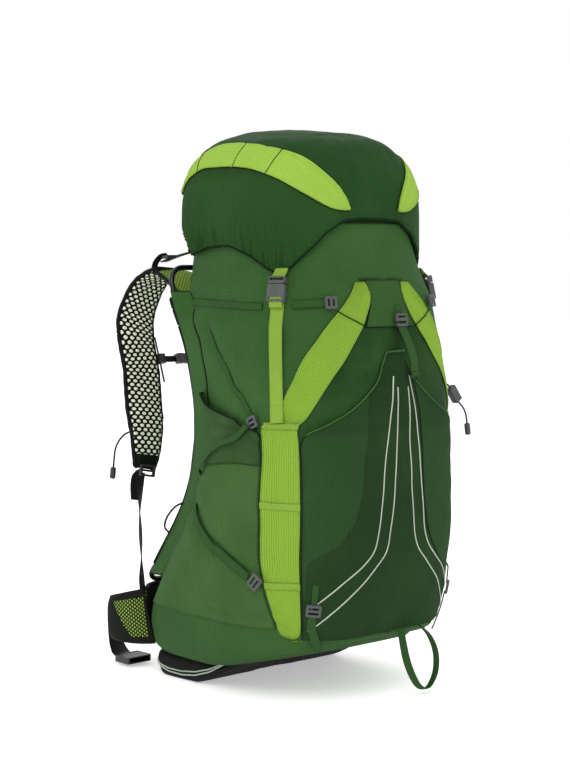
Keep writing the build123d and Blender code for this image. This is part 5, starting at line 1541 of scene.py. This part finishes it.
# ------------------------------------------------------------------ harness
def pad_form(cloth, centres, outs, widths, thick, around=64, crown=0.0):
    """Padded band: a rounded flat section square to its run, fuller in its middle."""
    ahead = unit(np.gradient(centres, axis=0))
    side = unit(np.cross(ahead, outs))
    up = np.cross(side, ahead)
    a = np.arange(around) * TAU / around
    c, s = np.cos(a), np.sin(a)
    u = np.sign(c) * np.abs(c) ** (2 / 3.4)
    v = np.sign(s) * np.abs(s) ** (2 / 2.4)
    w = np.broadcast_to(np.asarray(widths, float), (len(centres),))[:, None] / 2
    t = np.broadcast_to(np.asarray(thick, float), (len(centres),))[:, None] / 2
    full = t * v * (1 + crown * (1 - u**2) * np.sign(v))
    points = centres[:, None] + side[:, None] * (w * u)[..., None] + up[:, None] * full[..., None]
    uv = np.stack(np.broadcast_arrays(w * u, run_along(centres)[:, None]), -1)
    edge = np.clip((np.abs(u) - 0.90) / 0.06, 0, 1) + 0 * w
    cloth.grid(points, uv=uv, closed=True, poles=(True, True), edge=edge, net=(1 - edge) * np.where(v > 0, 1.0, 0.0))
    return points, side, up


STRAP_ROUTE = MM * np.array([(-52, 196, 598), (-57, 226, 580), (-66, 241, 552), (-76, 243, 522), (-86, 230, 489),
                             (-87, 216, 443), (-94, 202, 398), (-100, 188, 354), (-105, 182, 318), (-109, 182, 296)])


def make_shoulder_straps():
    """S-curved foam straps: punched mesh towards the wearer, bound edges, a narrowed tongue."""
    line = curve_through(STRAP_ROUTE, 190)
    outs = unit(-np.cross(np.array([1.0, 0, 0]), unit(np.gradient(line, axis=0))))
    s = np.linspace(0, 1, len(line))
    widths = 0.064 - 0.026 * np.maximum(0, s - 0.72) / 0.28 - 0.012 * (1 - rise(s, 0, 0.06)) - 0.010 * rise(s, 0.97, 1)
    thick = 0.0118 * (0.6 + 0.4 * rise(s, 0, 0.05)) * (1 - 0.45 * rise(s, 0.90, 1.0))
    netted = (1 - rise(s, 0.885, 0.90)) * rise(s, 0.02, 0.035)
    for mirror, side in sides():
        cloth = Cloth("shoulder_pad_" + side, mirror)
        points, across, up = pad_form(cloth, line, outs, widths, thick, around=72, crown=0.10)
        cloth.marks[0][1]["net"][:points.shape[0] * 72] *= np.repeat(netted, 72)
        cloth.build(pad_net, "pack", "pad_mesh", ["shoulder_strap_" + side])
        rims = [line + across * (way * (widths / 2 - 0.0003))[:, None] for way in (-1, 1)]
        rims = [rim + 0.0006 * soft_noise(rim, 0.02, 81)[:, None] * across for rim in rims]
        piped("shoulder_binding_" + side, rims, 0.0030 * (0.75 + 0.25 * np.sin(math.pi * s) ** 0.3), 10,
              black_webbing, "pack", "webbing_black", mirror)
        rows = []
        for way in (-1, 1):
            for face in (1, -1):
                row = line + across * (way * (widths / 2 - 0.0052))[:, None] + up * (face * thick * 0.49)[:, None]
                rows.append((row[6:-6], up[6:-6] * face))
        sewn("shoulder_thread_" + side, rows, LONG_STITCH, stitch_black, "pack", "pad_mesh", mirror)
        k = slice(30, 186)
        woven("shoulder_spine_webbing_" + side, [
            (line[k] - up[k] * (thick[k] * 0.56 + 0.0006)[:, None], -up[k], 0.020, 0.0016)], black_webbing, "pack",
            "webbing_black", (), mirror)


def make_yoke():
    """Bridge from the frame to both straps: a wide low pad with a scooped neck edge."""
    rows, cols, half, deep = 60, 90, 0.080, 0.13
    line = curve_through([(0, .072, .528), (0, .092, .535), (0, .128, .558), (0, .160, .580), (0, .188, .594)], rows)
    ahead = unit(np.gradient(line, axis=0))
    run = np.linspace(0, 1, rows)
    s = run[:, None]
    x = half * np.sin(np.linspace(-1, 1, cols) * math.pi / 2)[None] + 0 * s
    reach = np.clip(s * (1 - 0.030 * np.exp(-(x / 0.019) ** 2) / deep), 0, 1)
    y, z, ahead_y, ahead_z = (np.interp(reach, run, value) for value in (
        line[:, 1], line[:, 2], ahead[:, 1], ahead[:, 2]))
    swell = 0.35 + 0.65 * np.sin(math.pi * np.clip(s * 0.9 + 0.05, 0, 1)) ** 0.5
    swell = 0.0042 * (1 - np.abs(x / half) ** 6) * swell
    up = unit(np.stack([0 * x, -ahead_z, ahead_y], -1))
    base = np.stack([x, y, z], -1)
    rim = np.exp(-(np.minimum(half - np.abs(x), np.minimum(s, 1 - s) * deep) / 0.004) ** 2)
    cloth = Cloth("yoke_pad")
    cloth.shell(base + up * (swell + 0.0006)[..., None], base - up * (swell + 0.0002)[..., None], edge=rim,
                net=1 - rim)
    cloth.build(yoke_net, "pack", "pad_mesh", ["harness_yoke"])
    binding = Cloth("yoke_binding")
    for edge, radius in ((base[:, 0], 0.0030), (base[:, -1], 0.0030), (base[-1], 0.0028)):
        binding.tube(edge, radius, 8)
    binding.build(black_webbing, "pack", "webbing_black")


def make_harness_webbing():
    """Load lifters, lower strap webbings and the small webbings of the chest strap."""
    lifter = even_curve([(-.055, .200, .609), (-.062, .160, .6165), (-.071, .122, .6213), (-.078, .090, .6245)], 0.004)
    lifter_end = even_curve([(-.0585, .186, .6185), (-.063, .196, .617), (-.068, .204, .606), (-.069, .206, .590)],
                            0.003)
    strap = even_curve([(-.110, .188, .290), (-.114, .186, .262), (-.121, .177, .219), (-.130, .162, .165),
                        (-.138, .151, .133), (-.145, .139, .114)], 0.004)
    strap_end = even_curve([(-.109, .193, .294), (-.108, .202, .285), (-.110, .204, .268), (-.113, .199, .247)], 0.003)
    turning = 0.9 * np.sin(math.pi * np.linspace(0, 1, len(strap))) ** 2
    low, high = np.array([0, .206, .424]), np.array([0, .2295, .492])
    at = low + (high - low) * ((.459 - .424) / (.492 - .424))
    chest = even_curve([at + [-.0403, 0, 0], at + [-.030, .003, -.001], at + [-.0144, .004, -.001]], 0.002)
    flat = np.repeat(-np.cross(np.array([1.0, 0, 0]), unit(high - low))[None], len(chest), 0)
    webbings = [
        ("load_lifter_webbing_", "load_lifters", "pack", [
            (lifter, facing([0, 0.2, 1.0], lifter), 0.013, 0.0016),
            (lifter_end, facing([0, 0.9, 0.5], lifter_end), 0.012, 0.0014)]),
        ("strap_webbing_", "strap_webbings", "pack", [
            (strap, facing([-0.2, 1, 0.2], strap), 0.0195, 0.0016, 9, turning),
            (strap_end, facing([-0.1, 1, 0.1], strap_end), 0.0190, 0.0015)]),
        ("chest_webbing_", "chest_webbings", "chest_strap", [(chest, flat, 0.0100, 0.0015)])]
    for mirror, side in sides():
        for name, node, body, runs in webbings:
            woven(name + side, runs, black_webbing, body, "webbing_black", [node], mirror)


def make_back():
    """Tensioned net across the frame with bound edges, and the padded lumbar band below it."""
    rows, cols, half, thick = 150, 110, 0.147, 0.0008
    z = np.linspace(0.166, 0.555, rows)
    y = blend_row(BAG_LEVELS, z, 3) - 0.002 + 0.004 + GAP + 0.00125
    u = np.linspace(-1, 1, cols)
    share = np.linspace(0, 1, rows)[:, None]
    x = half * u[None] + 0 * share
    z = z[:, None] + 0 * x
    waist = 0.0035 * np.sin(math.pi * share) * np.sign(x) * np.abs(u) ** 3
    ripple = 0.0004 * soft_noise(np.stack([x, 0 * x, z], -1), 0.03, 85)
    base = np.stack([x - waist, y[:, None] + ripple, z], -1)
    outs = grid_outs(base)
    outs = outs * np.sign(outs[..., 1:2])
    border = np.minimum((1 - np.abs(u))[None] * half, np.minimum(share, 1 - share) * 0.42)
    rim = np.exp(-(border / 0.006) ** 2)
    cloth = Cloth("back_net_cloth")
    cloth.shell(base + outs * thick, base - outs * thick, edge=rim, net=1 - rim)
    piece = cloth.build(back_net, "pack", "back_mesh", ["back_mesh"])
    float(run_along(base[:, 55])[-1])
    piped("back_net_binding", (base[:, 0], base[:, -1], base[0], base[-1]), 0.0024, 8, black_webbing, "pack",
          "webbing_black")
    side = [(143, 132), (127, 150), (104, 161), (60, 169)]
    plan = [(-a, b) for a, b in side] + [(0, 172)] + side[::-1]
    line = curve_through(np.array([(a, b, 86) for a, b in plan]) * MM, 110)
    outs = unit(np.stack([line[:, 0], line[:, 1] + 0.060, 0 * line[:, 0]], -1))
    pad = Cloth("lumbar_cushion")
    thick = 0.0088 * (0.7 + 0.3 * np.sin(math.pi * np.linspace(0, 1, 110)) ** 0.3)
    pad_form(pad, line, outs, 0.078, thick, around=60, crown=0.05)
    pad.build(wing_net, "pack", "pad_mesh", ["lumbar_pad"])
    piped("lumbar_binding", [line + np.array([0, 0, way * 0.0385]) for way in (-1, 1)], 0.0028, 8, black_webbing,
          "pack", "webbing_black")


def make_frame_sleeves():
    """Cloth that runs on from the bag's back corners and wraps the frame's upright runs."""
    heights = np.linspace(0.150, 0.566, 130)
    rail = blend_row(BAG_LEVELS, heights, 3) - 0.002
    slope = np.gradient(rail, heights)[:, None, None]
    core = np.stack([0 * rail - 0.143, rail, heights], -1)
    a = np.radians(np.linspace(-8, 194, 28))[None, :, None]
    back = np.concatenate([0 * slope, 1 + 0 * slope, -slope], -1) / np.sqrt(1 + slope**2)
    wrap = core[:, None] + 0.0049 * (np.cos(a) * np.array([1.0, 0, 0]) + np.sin(a) * back)
    q = np.linspace(0, 1, 14)[None, 1:, None]
    for mirror, side in sides():
        start = on_bag(turn_y(rail - 0.034, heights), heights, 0.0016)
        bridge = wrap[:, -1:] + (start[:, None] - wrap[:, -1:]) * q
        swell = 0.0012 * np.sin(math.pi * q) + 0.0006 * soft_noise(bridge, 0.05, 91)[..., None] * (1 - q)
        top = np.concatenate([wrap, bridge - np.array([1.0, 0, 0]) * swell], axis=1)
        # Painted shade along the last column, where the sleeve runs into the bag's cloth.
        seam = np.zeros(top.shape[:2])
        seam[:, -1] = 0.3
        cloth = Cloth("frame_sleeve_" + side, mirror)
        cloth.shell(top, top - grid_outs(top) * 0.0006, valley=seam)
        cloth.build(bag_cloth, "pack", "bag_fabric")
        piped("frame_sleeve_piping_" + side, (top[0], top[-1]), 0.0007, 6, hem_tape, "pack", "bag_fabric", mirror)


WING_ROUTE = MM * np.array([(-150, 118, 86), (-166, 136, 86), (-172, 158, 86), (-168, 183, 86), (-152, 207, 86),
                            (-128, 224, 86), (-112, 230, 86)])


def make_hip_belt():
    """Hip wings of foam faced with net, tapering forward, each with its wide webbing tail."""
    line = curve_through(WING_ROUTE, 100)
    share = np.linspace(0, 1, 100)
    line[:, 2] = 0.086 - 0.018 * share
    widths = 0.080 - 0.038 * share - 0.010 * rise(share, 0.93, 1)
    thick = 0.0118 * (0.55 + 0.45 * np.sin(math.pi * np.clip(share * 0.92 + 0.06, 0, 1)) ** 0.4)
    outs = unit(np.stack([line[:, 0] + 0.110, line[:, 1] - 0.165, 0 * share], -1))
    route = [(-.124, .2345, .086), (-.124, .2355, .074), (-.124, .238, .060), (-.124, .2385, .044), (-.125, .2325, .025),
             (-.1265, .220, .013), (-.129, .203, .0085), (-.130, .196, .0085)]
    run = even_curve(route, 0.002)
    normals = unit(-np.cross(np.array([0.9, 0.35, 0]), unit(np.gradient(run, axis=0))))
    for mirror, side in sides():
        cloth = Cloth("hip_wing_pad_" + side, mirror)
        points, across, _ = pad_form(cloth, line, outs, widths, thick, crown=0.12)
        height = (points[..., 2] - line[:, None, 2]) / (widths[:, None] / 2)
        netted = (share[:, None] < 0.30 + 0.13 * height) & (share[:, None] > 0.05)
        cloth.marks[0][1]["net"][:points.size // 3] = (rise(0.80 - np.abs(height), 0, 0.08) * netted).ravel()
        cloth.build(wing_net, "hip_" + side, "pad_mesh", ["hip_wing_" + side])
        rims = [line + across * (way * (widths / 2 - 0.0005))[:, None] for way in (-1, 1)]
        piped("hip_wing_binding_" + side, rims, 0.0032, 8, black_webbing, "hip_" + side, "webbing_black", mirror)
        tail = Cloth("hip_webbing_tail_" + side, mirror)
        ribbon(tail, run, normals, 0.0375, 0.0018, columns=13)
        tail.build(black_webbing, "hip_" + side, "webbing_black", ["hip_webbing_" + side])


def make_haul_loop():
    """Hand loop of doubled webbing with a sleeve round the frame at each end."""
    y, z = float(blend_row(BAG_LEVELS, 0.600, 3)) - 0.002 + 0.008, 0.600
    inner = 0.0045
    cloth = Cloth("haul_loop_webbing")
    for x in (-0.025, 0.025):
        turn = np.linspace(0, TAU, 33)
        loop = np.stack([np.full(33, x), y + (inner + 0.0009) * np.cos(turn), z + (inner + 0.0009) * np.sin(turn)], -1)
        ribbon(cloth, loop[:-1], unit(loop[:-1] - np.array([x, y, z])), 0.013, 0.0014)
    top, low = z - inner - 0.001, z - 0.040
    right = [(.018, y + .001, low + .006), (.025, y + .001, low + .020), (.025, y, top)]
    route = [(-a, b, c) for a, b, c in right[::-1]] + [(0, y + .001, low)] + right
    line = even_curve(route, 0.002)
    ribbon(cloth, line, np.repeat(np.array([[0, 1.0, 0]]), len(line), 0), 0.012, 0.0024)
    cloth.build(black_webbing, "haul", "webbing_black", ["haul_loop"])


def make_small_loops():
    """Thin cord loops: two on the edges of the back net, and a pale pull on each side pocket."""
    cloth = Cloth("net_edge_loops")
    for s in (-1, 1):
        route = [(s * x, float(blend_row(BAG_LEVELS, z, 3)) + away, z) for x, away, z in (
            (.1475, .001, .262), (.152, .010, .255), (.154, .016, .240), (.153, .013, .224), (.1475, .002, .214))]
        cloth.tube(even_curve(route, 0.003), 0.0016, 7)
    cloth.build(black_braid, "pack", "elastic_cord")
    pale = Cloth("pocket_pull_loops")
    for s in (-1, 1):
        anchor = [(.016, .424), (.011, .416), (.004, .405), (.004, .397), (.010, .400), (.015, .410), (.018, .420)]
        route = np.array([bag(turn_y(y, z), z, 0.0135) for y, z in anchor])
        route = route * np.array([-s, 1, 1])
        pale.tube(even_curve(route, 0.002), 0.0014, 7)
    pale.build(cord_pale, "pack", "elastic_cord")


# ------------------------------------------------------------------ cords
STRAP_CORD_ROUTE = MM * np.array([(-112, 192, 353), (-116, 203, 352), (-120, 216, 347), (-122, 228, 336),
                                  (-122, 237, 323), (-121, 241, 308), (-121, 243, 294)])
TOOL_CORD_ROUTE = MM * np.array([(166, -140, 430), (182, -143, 434), (199, -146, 432), (213, -148, 422)])
TOOL_TAIL_ROUTE = MM * np.array([(228, -150, 400), (238, -151, 392), (245, -152, 380), (247, -152, 366)])


def make_cord(name, route, material, replaced):
    """Free cord from its tunnel to its fitting, hanging in one smooth curve."""
    curve = bpy.data.curves.new(name, "CURVE")
    curve.dimensions = "3D"
    curve.bevel_depth = 0.0015
    curve.bevel_resolution = 3
    curve.resolution_u = 12
    spline = curve.splines.new("NURBS")
    spline.points.add(len(route) - 1)
    for point, place in zip(spline.points, route):
        point.co = (*place, 1.0)
    spline.order_u = 3
    spline.use_endpoint_u = True
    curve.use_fill_caps = True
    cord = bpy.data.objects.new(name, curve)
    bpy.context.scene.collection.objects.link(cord)
    curve.materials.append(material)
    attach(cord, "pack")
    if replaced:
        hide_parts(*replaced)


def make_cords():
    make_cord("strap_elastic_cord", STRAP_CORD_ROUTE, black_braid, ["strap_bungee"])
    make_cord("tool_elastic_cord", TOOL_CORD_ROUTE, cord_braid, ["tool_bungee"])
    make_cord("tool_elastic_tail", TOOL_TAIL_ROUTE, cord_braid, [])


# ------------------------------------------------------------------ hardware kept from the frame
def finish_hardware():
    """Moulded and metal pieces of the frame keep their form and take their material."""
    grey = ["compression_locks", "lid_buckle_plugs", "lid_buckle_socket_left", "lid_buckle_socket_right", "flap_hook",
            "tool_cord_lock", "tool_bungee_pull", "chest_buckle_socket", "chest_buckle_plug"]
    black = ["hip_buckle_socket", "hip_buckle_plug", "strap_ladder_locks", "load_lifter_buckles", "chest_sliders",
             "chest_rails", "lid_rear_buckles", "strap_bungee_pull", "collar_cord_lock", "collar_lock_button",
             "lid_zip_slider"]
    metal = ["frame_hoop", "frame_cross_strut"]
    for names, material in ((grey, grey_plastic), (black, black_plastic), (metal, tube_metal)):
        for name in names:
            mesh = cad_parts[name].data
            mesh.materials.clear()
            mesh.materials.append(material)


for make in (make_stage, make_cords, make_bag, make_base, make_collar, make_bands, make_flap, make_front_pocket,
             make_side_pockets, make_compression_straps, make_lid_straps, make_flap_webbing, make_axe_loop,
             make_lid, make_crescents, make_zip, make_rear_straps, make_shoulder_straps, make_yoke,
             make_harness_webbing, make_back, make_frame_sleeves, make_hip_belt, make_haul_loop,
             make_small_loops, finish_hardware):
    make()
